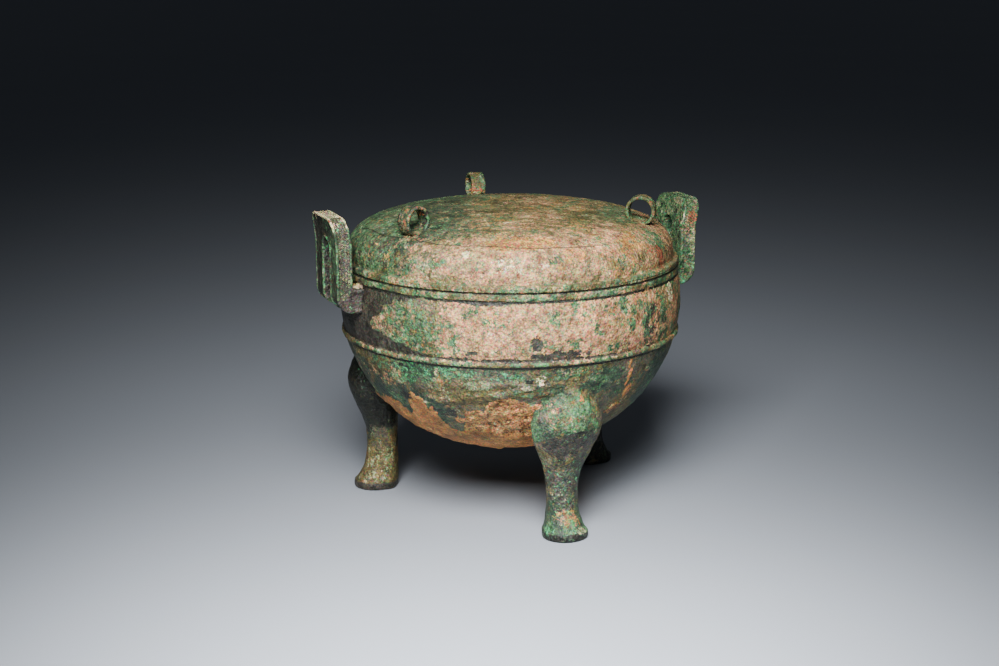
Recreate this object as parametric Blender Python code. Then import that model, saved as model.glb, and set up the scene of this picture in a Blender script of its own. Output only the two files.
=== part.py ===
"""A round bronze ding: a tripod vessel with two upright ears, and a domed lid that carries three rings.

Run it in Blender's text editor, or with blender --background --python part.py. Lengths are metres and
+Z is up. The vessel's axis is Z and it stands on z = 0, with its ears on the X axis and one leg towards -Y.
The legs and ears were cast on to the bowl, so they are one piece with it. The lid only rests on the mouth.
"""

import math
from dataclasses import dataclass

import bmesh
import bpy

# Bowl
BELLY_R = 0.0982  # outside of the wall at the rib
RIB_Z = 0.1050  # height of the rib round the belly
RIB_R = 0.0018  # radius of the rib's half-round section
RIB_SPAN = 50  # degrees of that round above and below its middle
BOWL_DEPTH = 0.0684  # from the rib down to the underside
BOWL_POWERS = (2.72, 1.40)  # how square the underside's outline is, across and down
WALL = 0.0026
UPPER_BULGE = 0.0023  # swell of the wall between the rib and the rim
UPPER_LEAN = 0.0006  # how much wider the wall is under the rim than at the rib

# Rim and the flange inside it, which keeps the lid in place
MOUTH_Z = 0.1444  # the ledge that the lid rests on
RIM_BAND_H = 0.0042
RIM_BAND_PROUD = 0.0007
RIM_EDGE = 0.0006  # rounding of the band's edges
FLANGE_H = 0.0066
FLANGE_T = 0.0026
SHOULDER_H = 0.0120  # the wall thickens to the flange over this height

# Lid
LID_REST_GAP = 0.0003
LID_PLAY = 0.0008  # between the flange and the lid, all round
LID_SETBACK = 0.0005  # the lid's band is this much smaller than the rim's
LID_BAND_H = 0.0038
LID_BAND_PROUD = 0.0030
DOME_H = 0.0284  # from the top of the lid's band to the crown
DOME_POWERS = (3.02, 2.87)
LID_WALL = 0.0024

# Rings on the lid
RING_INSET = 0.0183  # the middle of each ring is this far inside the dome's foot
RING_RISE = 0.0060  # how far that middle stands above the dome
RING_R = 0.0090
RING_T = 0.0023
RING_W = 0.0090
RING_EDGE = 0.0004
RING_AZIMUTHS = (-34.95, 85.05, 205.05)


# Ears
@dataclass(frozen=True)
class Ear:
    """How an ear departs from the sizes that both share."""

    azimuth: float
    inset: float = 0.0  # stands this much closer to the wall
    sag: float = 0.0  # top is this much lower
    lift: float = 0.0  # root is this much higher
    lean: float = 0.0  # top leans out this much more


EARS = {
    "left": Ear(azimuth=181.1),
    "right": Ear(azimuth=-1.1, inset=0.0017, sag=0.0013, lift=0.0015, lean=0.0008),
}
EAR_REACH = 0.0148  # outer face, beyond the belly wall
EAR_H = 0.0341  # top of the ear, above the mouth
EAR_FLARE = 0.0030  # the top leans out by this much
EAR_ROOT_DROP = 0.0199  # underside of the root, below the mouth
EAR_W = 0.0416
EAR_T = 0.0094
EAR_CORNER_R = 0.0092  # at the two top corners, seen from the side of the vessel
EAR_FLARE_H = 0.0190  # the lean starts this far below the top
EAR_FLARE_POWER = 1.6
EAR_ROOT_H = 0.0135
EAR_BEND_R = 0.0092
SLOT_W = 0.0134
SLOT_RISE = 0.0206  # crown of the slot, above the mouth

# Legs
LEG_AZIMUTHS = (-89.6, 30.0, 150.0)
FOOT_INSET = 0.0147  # the middle of each foot is this far inside the belly wall
FOOT_R = 0.0133
LEG_MERGE_DROP = 0.0130  # the knee runs out into the bowl this far below the rib
# Each station of the leg is its height as a share of the leg, how far its front stands beyond the middle of
# the foot, and its half width. The leg's own top, above the last station, lies just inside the bowl's wall.
LEG_STATIONS = (
    (0.000, 0.0133, 0.0133),
    (0.046, 0.0133, 0.0133),
    (0.080, 0.0101, 0.0114),
    (0.150, 0.0064, 0.0094),
    (0.250, 0.0053, 0.0090),
    (0.360, 0.0048, 0.0095),
    (0.440, 0.0058, 0.0118),
    (0.520, 0.0083, 0.0149),
    (0.600, 0.0114, 0.0184),
    (0.690, 0.0147, 0.0211),
    (0.765, 0.0161, 0.0212),
    (0.830, 0.0147, 0.0190),
    (0.890, 0.0119, 0.0150),
    (0.950, 0.0103, 0.0096),
)
LEG_FRONT_POWER = 2.1
LEG_BACK_POWER = 3.6  # the back is nearly flat
LEG_BACK_TAPER = 0.28  # and this much narrower
LEG_TOP_HALF_W = 0.0030
LEG_TOP_COVER = 0.0006  # how far the top station lies inside the bowl's outer face

# Fineness of the curves
TURN_STEPS = 48
BOWL_STEPS = 10
DOME_STEPS = 10
INNER_STEPS = 8
UPPER_STEPS = 4
RIB_STEPS = 3
LEG_POINTS = 16
ARC_STEPS = 5
RING_STEPS = 20
SMOOTH_ANGLE = math.radians(38)

# What follows from the sizes above
MERGE = 1e-6
OVERRUN = 0.010  # how far a cutting shape runs past what it cuts
UPPER_R = BELLY_R + UPPER_LEAN
RIM_R = UPPER_R + RIM_BAND_PROUD
LID_BAND_R = RIM_R - LID_SETBACK
DOME_R = LID_BAND_R - LID_BAND_PROUD
LID_BORE_R = DOME_R - LID_WALL
FLANGE_R = LID_BORE_R - LID_PLAY
MOUTH_R = FLANGE_R - FLANGE_T
LID_Z = MOUTH_Z + LID_REST_GAP
DOME_Z = LID_Z + LID_BAND_H
FOOT_CENTRE = BELLY_R - FOOT_INSET
LEG_TOP_Z = RIB_Z - LEG_MERGE_DROP


def power_curve(width, height, powers, steps):
    """Points of a quarter superellipse, from (width, 0) at its widest to (0, height) on the axis."""
    points = []
    for step in range(steps + 1):
        angle = math.pi / 2 * step / steps
        across = max(math.cos(angle), 0.0) ** (2 / powers[0])
        along = math.sin(angle) ** (2 / powers[1])
        points.append((width * across if step < steps else 0.0, height * along))
    return points


def power_radius(width, height, powers, level):
    """Radius of that superellipse at a level between 0 and height."""
    return width * (1 - (level / height) ** powers[1]) ** (1 / powers[0])


def power_level(width, height, powers, radius):
    """Level of that superellipse at a radius between 0 and width."""
    return height * (1 - (radius / width) ** powers[0]) ** (1 / powers[1])


def upper_radius(z):
    """Outer radius of the wall between the rib and the rim."""
    share = (z - RIB_Z) / (MOUTH_Z - RIM_BAND_H - RIB_Z)
    return BELLY_R + UPPER_LEAN * share + UPPER_BULGE * 4 * share * (1 - share)


def spread(first, last, steps):
    """Values from first to last in equal steps, both ends included."""
    return [first + (last - first) * step / steps for step in range(steps + 1)]


def arc(centre, radius, start, end, steps):
    """Points on an arc in a plane, with its angles in degrees."""
    turns = [math.radians(angle) for angle in spread(start, end, steps)]
    return [(centre[0] + radius * math.cos(turn), centre[1] + radius * math.sin(turn)) for turn in turns]


def bronze():
    """Cast bronze under a dull brown-green patina."""
    material = bpy.data.materials.new("bronze")
    material.use_nodes = True
    shader = material.node_tree.nodes["Principled BSDF"]
    shader.inputs["Base Color"].default_value = (0.19, 0.18, 0.12, 1.0)
    shader.inputs["Roughness"].default_value = 0.62
    shader.inputs["Metallic"].default_value = 0.45
    return material


def add_object(name, bm, material, azimuth=0.0):
    """Makes an object of a finished mesh, turned about the vessel's axis, smooth with sharp edges."""
    bmesh.ops.recalc_face_normals(bm, faces=bm.faces[:])
    mesh = bpy.data.meshes.new(name)
    bm.to_mesh(mesh)
    bm.free()
    mesh.shade_smooth()
    mesh.set_sharp_from_angle(angle=SMOOTH_ANGLE)
    mesh.materials.append(material)
    made = bpy.data.objects.new(name, mesh)
    made.rotation_euler.z = math.radians(azimuth)
    bpy.context.scene.collection.objects.link(made)
    return made


def combine(target, other, operation):
    """Adds or cuts a helper shape, which stays in the file as a wire outline."""
    modifier = target.modifiers.new(other.name, "BOOLEAN")
    modifier.operation = operation
    modifier.solver = "EXACT"
    modifier.object = other
    other.hide_render = True
    other.display_type = "WIRE"


def turned(name, outline, material):
    """Spins an outline of (radius, height) points, which starts and ends on the axis, round Z."""
    bm = bmesh.new()
    verts = [bm.verts.new((radius, 0, z)) for radius, z in outline]
    edges = [bm.edges.new(pair) for pair in zip(verts, verts[1:])]
    bmesh.ops.spin(bm, geom=verts + edges, axis=(0, 0, 1), angle=math.tau, steps=TURN_STEPS, use_merge=True)
    bmesh.ops.remove_doubles(bm, verts=bm.verts[:], dist=MERGE)
    return add_object(name, bm, material)


def prism(name, corners, depth, material, azimuth):
    """A face through the corners, extruded along the depth vector."""
    bm = bmesh.new()
    face = bm.faces.new([bm.verts.new(corner) for corner in corners])
    swept = bmesh.ops.extrude_face_region(bm, geom=[face])["geom"]
    bmesh.ops.translate(bm, verts=[v for v in swept if isinstance(v, bmesh.types.BMVert)], vec=depth)
    return add_object(name, bm, material, azimuth)


def bowl_outline():
    """Outside of the bowl, its rim band and its flange, from the top down."""
    band_z = MOUTH_Z - RIM_BAND_H
    rim = [(0.0, MOUTH_Z + FLANGE_H), (FLANGE_R, MOUTH_Z + FLANGE_H), (FLANGE_R, MOUTH_Z)]
    rim += [(RIM_R - RIM_EDGE, MOUTH_Z), (RIM_R, MOUTH_Z - RIM_EDGE), (RIM_R, band_z + RIM_EDGE)]
    upper = [(upper_radius(z), z) for z in spread(band_z, RIB_Z + RIB_R, UPPER_STEPS)]
    rib = arc((BELLY_R, RIB_Z), RIB_R, RIB_SPAN, -RIB_SPAN, RIB_STEPS)
    curve = power_curve(BELLY_R, BOWL_DEPTH, BOWL_POWERS, BOWL_STEPS)
    under = [(radius, RIB_Z - drop) for radius, drop in curve]
    start = next(index for index, (_, z) in enumerate(under) if z < RIB_Z - RIB_R)
    return rim + upper + rib + under[start:]


def cavity_outline():
    """Inside of the bowl, from above the mouth down."""
    shoulder_z = MOUTH_Z - SHOULDER_H
    above = MOUTH_Z + FLANGE_H + OVERRUN
    mouth = [(0.0, above), (MOUTH_R, above), (MOUTH_R, MOUTH_Z)]
    upper = [(upper_radius(z) - WALL, z) for z in spread(shoulder_z, RIB_Z, UPPER_STEPS // 2)]
    curve = power_curve(BELLY_R - WALL, BOWL_DEPTH - WALL, BOWL_POWERS, INNER_STEPS)
    return mouth + upper + [(radius, RIB_Z - drop) for radius, drop in curve[1:]]


def leg_section(z, front, half_width):
    """One closed outline round the leg: a rounded front and a flat back, as (x, y, z) points."""
    back = FOOT_CENTRE - FOOT_R
    middle = (front + back) / 2
    points = []
    for step in range(LEG_POINTS):
        angle = math.tau * (step + 0.5) / LEG_POINTS
        power = LEG_FRONT_POWER if math.cos(angle) > 0 else LEG_BACK_POWER
        across = math.copysign(abs(math.cos(angle)) ** (2 / power), math.cos(angle))
        side = math.copysign(abs(math.sin(angle)) ** (2 / power), math.sin(angle))
        side *= 1 - LEG_BACK_TAPER * max(0.0, -across)
        points.append((middle + (front - middle) * across, half_width * side, z))
    return points


def leg_sections():
    """Outlines of the leg from the foot up. The last one lies just inside the bowl's wall."""
    sections = [
        leg_section(share * LEG_TOP_Z, FOOT_CENTRE + front, half_width)
        for share, front, half_width in LEG_STATIONS
    ]
    wall_r = power_radius(BELLY_R, BOWL_DEPTH, BOWL_POWERS, RIB_Z - LEG_TOP_Z)
    return sections + [leg_section(LEG_TOP_Z, wall_r - LEG_TOP_COVER, LEG_TOP_HALF_W)]


def leg(name, azimuth, material):
    """A leg from its round foot to its broad knee."""
    bm = bmesh.new()
    loops = []
    for section in leg_sections():
        verts = [bm.verts.new(point) for point in section]
        loops.append([bm.edges.new(pair) for pair in zip(verts, verts[1:] + verts[:1])])
    for lower, upper in zip(loops, loops[1:]):
        bmesh.ops.bridge_loops(bm, edges=lower + upper)
    for end in (loops[0], loops[-1]):
        bmesh.ops.contextual_create(bm, geom=end)
    return add_object(name, bm, material, azimuth)


def ear_top(shape):
    """Height of the ear's top."""
    return MOUTH_Z + EAR_H - shape.sag


def ear_bottom(shape):
    """Height of the underside of the ear's root."""
    return MOUTH_Z - EAR_ROOT_DROP + shape.lift


def ear_lean(shape, z):
    """How far the ear leans out at a height."""
    share = max(0.0, (z - ear_top(shape) + EAR_FLARE_H) / EAR_FLARE_H)
    return (EAR_FLARE + shape.lean) * share**EAR_FLARE_POWER


def ear_side(shape):
    """Outline of the ear seen along the vessel's wall, as (distance from the axis, height)."""
    outer = BELLY_R + EAR_REACH - shape.inset
    inner = outer - EAR_T
    bottom = ear_bottom(shape)
    root_top = bottom + EAR_ROOT_H
    heights = [root_top] + spread(ear_top(shape) - EAR_FLARE_H, ear_top(shape) + OVERRUN, 2 * ARC_STEPS)
    outside = arc((outer - EAR_BEND_R, bottom + EAR_BEND_R), EAR_BEND_R, -90, 0, ARC_STEPS)
    outside += [(outer + ear_lean(shape, z), z) for z in heights]
    inside = [(inner + ear_lean(shape, z), z) for z in reversed(heights)]
    start = BELLY_R - WALL
    return [(start, bottom)] + outside + inside + [(start, root_top)]


def ear_face(shape):
    """Outline of the ear seen from the side of the vessel: an arch round a slot that is open below."""
    half = EAR_W / 2
    slot = SLOT_W / 2
    bottom = ear_bottom(shape) - OVERRUN
    shoulder = ear_top(shape) - EAR_CORNER_R
    crown = MOUTH_Z + SLOT_RISE - slot
    outside = arc((half - EAR_CORNER_R, shoulder), EAR_CORNER_R, 0, 90, ARC_STEPS)
    outside += arc((EAR_CORNER_R - half, shoulder), EAR_CORNER_R, 90, 180, ARC_STEPS)
    inside = arc((0.0, crown), slot, 180, 0, 2 * ARC_STEPS)
    return [(half, bottom)] + outside + [(-half, bottom), (-slot, bottom)] + inside + [(slot, bottom)]


def ear(name, shape, material):
    """An ear: the side outline swept across, kept only within the face outline."""
    sweep = EAR_W + 2 * OVERRUN
    side = [(x, -sweep / 2, z) for x, z in ear_side(shape)]
    made = prism(f"{name}_side", side, (0, sweep, 0), material, shape.azimuth)
    near = BELLY_R - WALL - OVERRUN
    far = BELLY_R + EAR_REACH + 2 * EAR_FLARE + OVERRUN
    face = [(near, y, z) for y, z in ear_face(shape)]
    combine(made, prism(f"{name}_face", face, (far - near, 0, 0), material, shape.azimuth), "INTERSECT")
    return made


def vessel(material):
    """The bowl with its legs and ears, hollowed."""
    body = turned("vessel", bowl_outline(), material)
    for number, azimuth in enumerate(LEG_AZIMUTHS, 1):
        combine(body, leg(f"leg_{number}", azimuth, material), "UNION")
    for side, shape in EARS.items():
        combine(body, ear(f"{side}_ear", shape, material), "UNION")
    combine(body, turned("cavity", cavity_outline(), material), "DIFFERENCE")
    return body


def lid_outline():
    """Outside of the lid, from the crown down to the underside of its band."""
    dome = [(radius, DOME_Z + rise) for radius, rise in power_curve(DOME_R, DOME_H, DOME_POWERS, DOME_STEPS)]
    band = [(LID_BAND_R - RIM_EDGE, DOME_Z), (LID_BAND_R, DOME_Z - RIM_EDGE), (LID_BAND_R, LID_Z + RIM_EDGE)]
    return dome[::-1] + band + [(LID_BAND_R - RIM_EDGE, LID_Z), (0.0, LID_Z)]


def lid_hollow_outline():
    """Inside of the lid, from its crown down past the band."""
    curve = power_curve(LID_BORE_R, DOME_H - LID_WALL, DOME_POWERS, INNER_STEPS)
    hollow = [(radius, DOME_Z + rise) for radius, rise in curve[::-1]]
    return hollow + [(LID_BORE_R, LID_Z - OVERRUN), (0.0, LID_Z - OVERRUN)]


def ring(name, azimuth, material):
    """A short flat band that stands on the dome, its axis level and across the lid's radius."""
    bm = bmesh.new()
    half = RING_W / 2
    centre_r = DOME_R - RING_INSET
    centre_z = DOME_Z + power_level(DOME_R, DOME_H, DOME_POWERS, centre_r) + RING_RISE
    outer = centre_r + RING_R
    inner = outer - RING_T
    section = [(outer - RING_EDGE, -half), (outer, RING_EDGE - half), (outer, half - RING_EDGE)]
    section += [(outer - RING_EDGE, half), (inner, half), (inner, -half)]
    verts = [bm.verts.new((x, y, centre_z)) for x, y in section]
    edges = [bm.edges.new(pair) for pair in zip(verts, verts[1:] + verts[:1])]
    bmesh.ops.spin(
        bm,
        geom=verts + edges,
        cent=(centre_r, 0, centre_z),
        axis=(0, 1, 0),
        angle=math.tau,
        steps=RING_STEPS,
        use_merge=True,
    )
    return add_object(name, bm, material, azimuth)


def lid(material):
    """The domed lid with its rings, hollowed from below."""
    dome = turned("lid", lid_outline(), material)
    for number, azimuth in enumerate(RING_AZIMUTHS, 1):
        combine(dome, ring(f"ring_{number}", azimuth, material), "UNION")
    combine(dome, turned("lid_hollow", lid_hollow_outline(), material), "DIFFERENCE")
    return dome


def main():
    for old in list(bpy.data.objects):
        bpy.data.objects.remove(old)
    material = bronze()
    vessel(material)
    lid(material)


main()
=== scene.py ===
"""Looks of a round bronze ding: a tripod vessel with two upright ears, and its domed lid with three rings.

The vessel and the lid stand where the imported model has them. Lengths are metres, +Z is up, the vessel's axis
is Z, its ears lie on X and one leg is towards -Y. Corrosion is laid on as layers. Each layer has a vertex
attribute that holds the share of the surface it covers there, and its material breaks that up into specks.
"""

import itertools
import logging
import math
from collections.abc import Sequence
from dataclasses import dataclass, field
from enum import Enum

import bmesh
import bpy
import numpy as np
from bpy.types import Material, Mesh, NodeSocket, NodeTree, Object
from mathutils import Matrix, Vector
from mathutils.kdtree import KDTree


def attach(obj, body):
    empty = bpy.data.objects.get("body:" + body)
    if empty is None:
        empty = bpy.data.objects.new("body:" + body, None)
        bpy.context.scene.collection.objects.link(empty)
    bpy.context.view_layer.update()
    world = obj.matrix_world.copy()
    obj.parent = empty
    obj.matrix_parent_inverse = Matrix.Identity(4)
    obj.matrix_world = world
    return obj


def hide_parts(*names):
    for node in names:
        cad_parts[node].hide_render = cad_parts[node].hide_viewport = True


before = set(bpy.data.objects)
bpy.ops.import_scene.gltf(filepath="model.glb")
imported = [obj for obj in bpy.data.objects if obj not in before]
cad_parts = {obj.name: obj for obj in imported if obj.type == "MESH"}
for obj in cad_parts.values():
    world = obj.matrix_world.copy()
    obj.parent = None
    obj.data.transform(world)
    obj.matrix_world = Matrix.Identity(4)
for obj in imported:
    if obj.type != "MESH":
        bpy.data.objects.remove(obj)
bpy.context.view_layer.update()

LOG = logging.getLogger("ding")
MM = 0.001
Colour = tuple[float, float, float]
Outline = list[tuple[float, float]]
Array = np.ndarray
Fields = dict[str, Array]


class Side(Enum):
    """Which ear is meant, as the photograph shows them, with its azimuth in degrees."""

    LEFT = 181.1
    RIGHT = -1.1


class Band(Enum):
    """What part of an ear's section a point belongs to."""

    BORDER = 0
    RIM_BAND = 1
    FACE_BAND = 2
    PLAIN = 3


# Noise and falloffs on arrays of points

# Factors and shifts that scatter the whole numbers of a lattice point over 32 bits
CELL_FACTORS = np.array((73856093, 19349663, 83492791), dtype=np.uint64)
SEED_FACTOR = 2654435761
STIRS = ((15, 2246822519), (13, 3266489917))
LAST_SHIFT = np.uint64(16)
WORD = 0xFFFFFFFF
# Moves every place to positive lattice cells
CELL_SHIFT = 1000.0
# Seeds between two octaves, and what brings their sum back to about -1 to 1
OCTAVE_SEEDS = 17
OCTAVE_GAIN = 1.25


def lattice(points: Array, size: float, seed: int) -> Array:
    """Smooth noise between -1 and 1.

    Args:
        points: places in metres, one a row.
        size: distance between the noise's peaks, in millimetres.
        seed: picks one noise out of many.

    Returns:
        One value for each point.
    """
    place = points / (size * MM) + CELL_SHIFT
    cell = np.floor(place).astype(np.uint64)
    share = place - np.floor(place)
    share = share * share * (3 - 2 * share)
    total = np.zeros(len(points))
    mask = np.uint64(WORD)
    for corner in itertools.product((0, 1), repeat=3):
        near = cell + np.array(corner, dtype=np.uint64)
        key = (near * CELL_FACTORS).sum(axis=1)
        key = (key + np.uint64(seed * SEED_FACTOR % (WORD + 1))) & mask
        for shift, factor in STIRS:
            key = ((key ^ (key >> np.uint64(shift))) * np.uint64(factor)) & mask
        key = key ^ (key >> LAST_SHIFT)
        weight = np.prod(np.where(np.array(corner, dtype=bool), share, 1 - share), axis=1)
        total += weight * (key.astype(float) / (WORD / 2) - 1)
    return total


def fractal(points: Array, size: float, seed: int, octaves: int = 3) -> Array:
    """Noise with finer noise on it, each octave half the size and half the height of the last."""
    waves = (lattice(points, size / 2**i, seed + OCTAVE_SEEDS * i) / 2**i for i in range(octaves))
    return sum(waves) * OCTAVE_GAIN


def noise_fields(points: Array, **kinds: tuple[float, int]) -> Fields:
    """Noises by name, from each one's size in millimetres and seed, and what of each is above zero."""
    found = {name: fractal(points, size, seed) for name, (size, seed) in kinds.items()}
    return found | {f"{name}_peaks": np.clip(noise, 0, 1) for name, noise in found.items()}


def step_up(value: Array, low: float, high: float) -> Array:
    """0 below low, 1 above high, and smooth between them. Low may be above high."""
    share = np.clip((value - low) / (high - low), 0, 1)
    return share * share * (3 - 2 * share)


def azimuths(points: Array) -> Array:
    """Azimuth of each point about the vessel's axis, in degrees."""
    return np.degrees(np.arctan2(points[:, 1], points[:, 0]))


# Outlines


def resample(points: Outline, step: float) -> Outline:
    """The same polyline with points an equal distance apart, at most one step."""
    line = np.array(points)
    along = np.concatenate(([0.0], np.cumsum(np.linalg.norm(np.diff(line, axis=0), axis=1))))
    places = np.linspace(0, along[-1], max(2, math.ceil(along[-1] / step) + 1))
    return list(zip(np.interp(places, along, line[:, 0]), np.interp(places, along, line[:, 1])))


def power_curve(width: float, height: float, powers: tuple[float, float], steps: int = 240) -> Outline:
    """Points of a quarter superellipse, from (width, 0) at its widest to (0, height) on the axis."""
    points = []
    for angle in np.linspace(0, math.pi / 2, steps + 1):
        across = max(math.cos(angle), 0.0) ** (2 / powers[0])
        points.append((width * across, height * math.sin(angle) ** (2 / powers[1])))
    points[-1] = (0.0, height)
    return points


def arc(centre: tuple[float, float], radius: float, start: float, end: float, steps: int) -> Outline:
    """Points on an arc in a plane, with its angles in degrees."""
    turns = np.radians(np.linspace(start, end, steps + 1))
    return [(centre[0] + radius * math.cos(turn), centre[1] + radius * math.sin(turn)) for turn in turns]


# Node graphs


@dataclass(frozen=True)
class Value:
    """A node's output socket, on which arithmetic adds Math nodes."""

    graph: "Graph"
    socket: NodeSocket

    def __add__(self, other: "Number") -> "Value":
        """Sum."""
        return self.graph.maths("ADD", self, other)

    def __radd__(self, other: "Number") -> "Value":
        """Sum, with this value second."""
        return self.graph.maths("ADD", other, self)

    def __sub__(self, other: "Number") -> "Value":
        """Difference."""
        return self.graph.maths("SUBTRACT", self, other)

    def __rsub__(self, other: "Number") -> "Value":
        """Difference, with this value second."""
        return self.graph.maths("SUBTRACT", other, self)

    def __mul__(self, other: "Number") -> "Value":
        """Product."""
        return self.graph.maths("MULTIPLY", self, other)

    def __rmul__(self, other: "Number") -> "Value":
        """Product, with this value second."""
        return self.graph.maths("MULTIPLY", other, self)

    def __truediv__(self, other: "Number") -> "Value":
        """Quotient."""
        return self.graph.maths("DIVIDE", self, other)

    def clamped(self) -> "Value":
        """The value held between 0 and 1."""
        return self.graph.add("ShaderNodeClamp", inputs={"Value": self})


Number = float | Value


class Graph:
    """A shader or Geometry Nodes tree that is written as expressions."""

    def __init__(self, tree: NodeTree) -> None:
        """Starts on an empty tree."""
        self.tree = tree
        tree.nodes.clear()

    def add(
        self,
        kind: str,
        settings: dict[str, object] | None = None,
        inputs: dict[str | int, object] | None = None,
        output: str | int = 0,
    ) -> Value:
        """Adds a node.

        Args:
            kind: the node's type.
            settings: properties of the node, set first.
            inputs: values or links of its sockets, by name or number.
            output: which output is wanted.

        Returns:
            That output.
        """
        node = self.tree.nodes.new(kind)
        for name, value in (settings or {}).items():
            setattr(node, name, value)
        for name, value in (inputs or {}).items():
            socket = node.inputs[name]
            if isinstance(value, Value):
                self.tree.links.new(value.socket, socket)
            else:
                socket.default_value = value
        return Value(self, node.outputs[output] if len(node.outputs) else None)

    def maths(self, operation: str, first: Number, second: Number = 0.0) -> Value:
        """Result of one Math node."""
        return self.add("ShaderNodeMath", {"operation": operation}, {0: first, 1: second})

    def vector(self, operation: str, first: object, second: object) -> Value:
        """Result of one Vector Math node with two vectors."""
        return self.add("ShaderNodeVectorMath", {"operation": operation}, {0: first, 1: second})

    def attribute(self, name: str) -> Value:
        """The value that a shader reads from one of the mesh's fields."""
        return self.add("ShaderNodeAttribute", {"attribute_name": name}, output="Fac")

    def mixed(self, share: Number, first: object, second: object) -> Value:
        """A colour between two, or their values where both are numbers or sockets of numbers."""
        as_colour = any(isinstance(end, tuple) or is_colour(end) for end in (first, second))
        kind, places, output = ("RGBA", (6, 7), 2) if as_colour else ("FLOAT", (2, 3), 0)
        ends = [(*end, 1.0) if isinstance(end, tuple) else end for end in (first, second)]
        settings = {"data_type": kind, "clamp_factor": True}
        return self.add("ShaderNodeMix", settings, {0: share, places[0]: ends[0], places[1]: ends[1]}, output)


def is_colour(value: object) -> bool:
    """Whether a value is a socket that carries a colour."""
    return isinstance(value, Value) and value.socket.type == "RGBA"


# Meshes


def face_outwards(mesh: Mesh, merge: float = 0.0) -> None:
    """Turns a closed mesh's faces outwards, after points closer than the merge distance are joined."""
    bm = bmesh.new()
    bm.from_mesh(mesh)
    if merge:
        bmesh.ops.remove_doubles(bm, verts=bm.verts[:], dist=merge)
    bmesh.ops.recalc_face_normals(bm, faces=bm.faces[:])
    bm.to_mesh(mesh)
    bm.free()


def make_mesh(name: str, points: Array, faces: Sequence[Sequence[int]]) -> Mesh:
    """A mesh of points and faces, with its faces turned outwards."""
    mesh = bpy.data.meshes.new(name)
    mesh.from_pydata(points.tolist(), [], [list(face) for face in faces])
    face_outwards(mesh, merge=0.001 * MM)
    return mesh


def tube_faces(count: int, around: int) -> list[tuple[int, ...]]:
    """Faces of a closed tube of equal rings of points, with a cap at each end."""
    faces: list[tuple[int, ...]] = []
    for ring in range(count - 1):
        for step in range(around):
            after = (step + 1) % around
            here, there = ring * around, (ring + 1) * around
            faces.append((here + step, here + after, there + after, there + step))
    faces.append(tuple(range(around)))
    faces.append(tuple(range((count - 1) * around, count * around)))
    return faces


def make_object(name: str, mesh: Mesh) -> Object:
    """An object at the origin that shows a mesh."""
    made = bpy.data.objects.new(name, mesh)
    bpy.context.scene.collection.objects.link(made)
    return made


def evaluated(target: Object, name: str) -> Mesh:
    """The mesh that an object's modifiers make. The object itself is removed."""
    bpy.context.view_layer.update()
    graph = bpy.context.evaluated_depsgraph_get()
    mesh = bpy.data.meshes.new_from_object(target.evaluated_get(graph))
    mesh.name = name
    target.modifiers.clear()
    bpy.data.objects.remove(target)
    return mesh


def combined(target: Mesh, other: Mesh, operation: str) -> Mesh:
    """The mesh of one solid joined to another or cut by it."""
    first = make_object("first", target)
    second = make_object("second", other)
    modifier = first.modifiers.new("combine", "BOOLEAN")
    modifier.operation = operation
    modifier.solver = "EXACT"
    modifier.object = second
    modifier.material_mode = "TRANSFER"
    mesh = evaluated(first, target.name)
    bpy.data.objects.remove(second)
    return mesh


def get_points(mesh: Mesh) -> Array:
    """Places of a mesh's vertices, one a row."""
    values = np.empty(len(mesh.vertices) * 3)
    mesh.vertices.foreach_get("co", values)
    return values.reshape(-1, 3)


def get_normals(mesh: Mesh) -> Array:
    """Normals of a mesh's vertices, one a row."""
    values = np.empty(len(mesh.vertices) * 3, dtype=np.float32)
    mesh.vertex_normals.foreach_get("vector", values)
    return values.reshape(-1, 3).astype(float)


def set_points(mesh: Mesh, points: Array) -> None:
    """Moves a mesh's vertices."""
    mesh.vertices.foreach_set("co", points.ravel())
    mesh.update()


def set_fields(mesh: Mesh, fields: Fields) -> None:
    """Stores one value a vertex under each name."""
    for name, values in fields.items():
        attribute = mesh.attributes.get(name) or mesh.attributes.new(name, "FLOAT", "POINT")
        attribute.data.foreach_set("value", values.astype(np.float32))


def finished(name: str, mesh: Mesh, fields: Fields) -> Object:
    """A smooth-shaded piece that carries its fields."""
    set_fields(mesh, fields)
    mesh.shade_smooth()
    return make_object(name, mesh)


def edge_ends(mesh: Mesh) -> Array:
    """The two vertices of each edge, one edge a row."""
    values = np.empty(len(mesh.edges) * 2, dtype=np.int32)
    mesh.edges.foreach_get("vertices", values)
    return values.reshape(-1, 2)


def relaxed(points: Array, ends: Array, weight: Array, rounds: int) -> Array:
    """Moves points towards the mean of their neighbours.

    Args:
        points: places of the vertices.
        ends: the two vertices of each edge.
        weight: how far each vertex goes in a round, from 0 to 1.
        rounds: how often this is done.

    Returns:
        The new places.
    """
    count = np.bincount(ends.ravel(), minlength=len(points))[:, None]
    for _ in range(rounds):
        total = np.zeros_like(points)
        np.add.at(total, ends[:, 0], points[ends[:, 1]])
        np.add.at(total, ends[:, 1], points[ends[:, 0]])
        points = points + weight[:, None] * (total / np.maximum(count, 1) - points)
    return points


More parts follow.
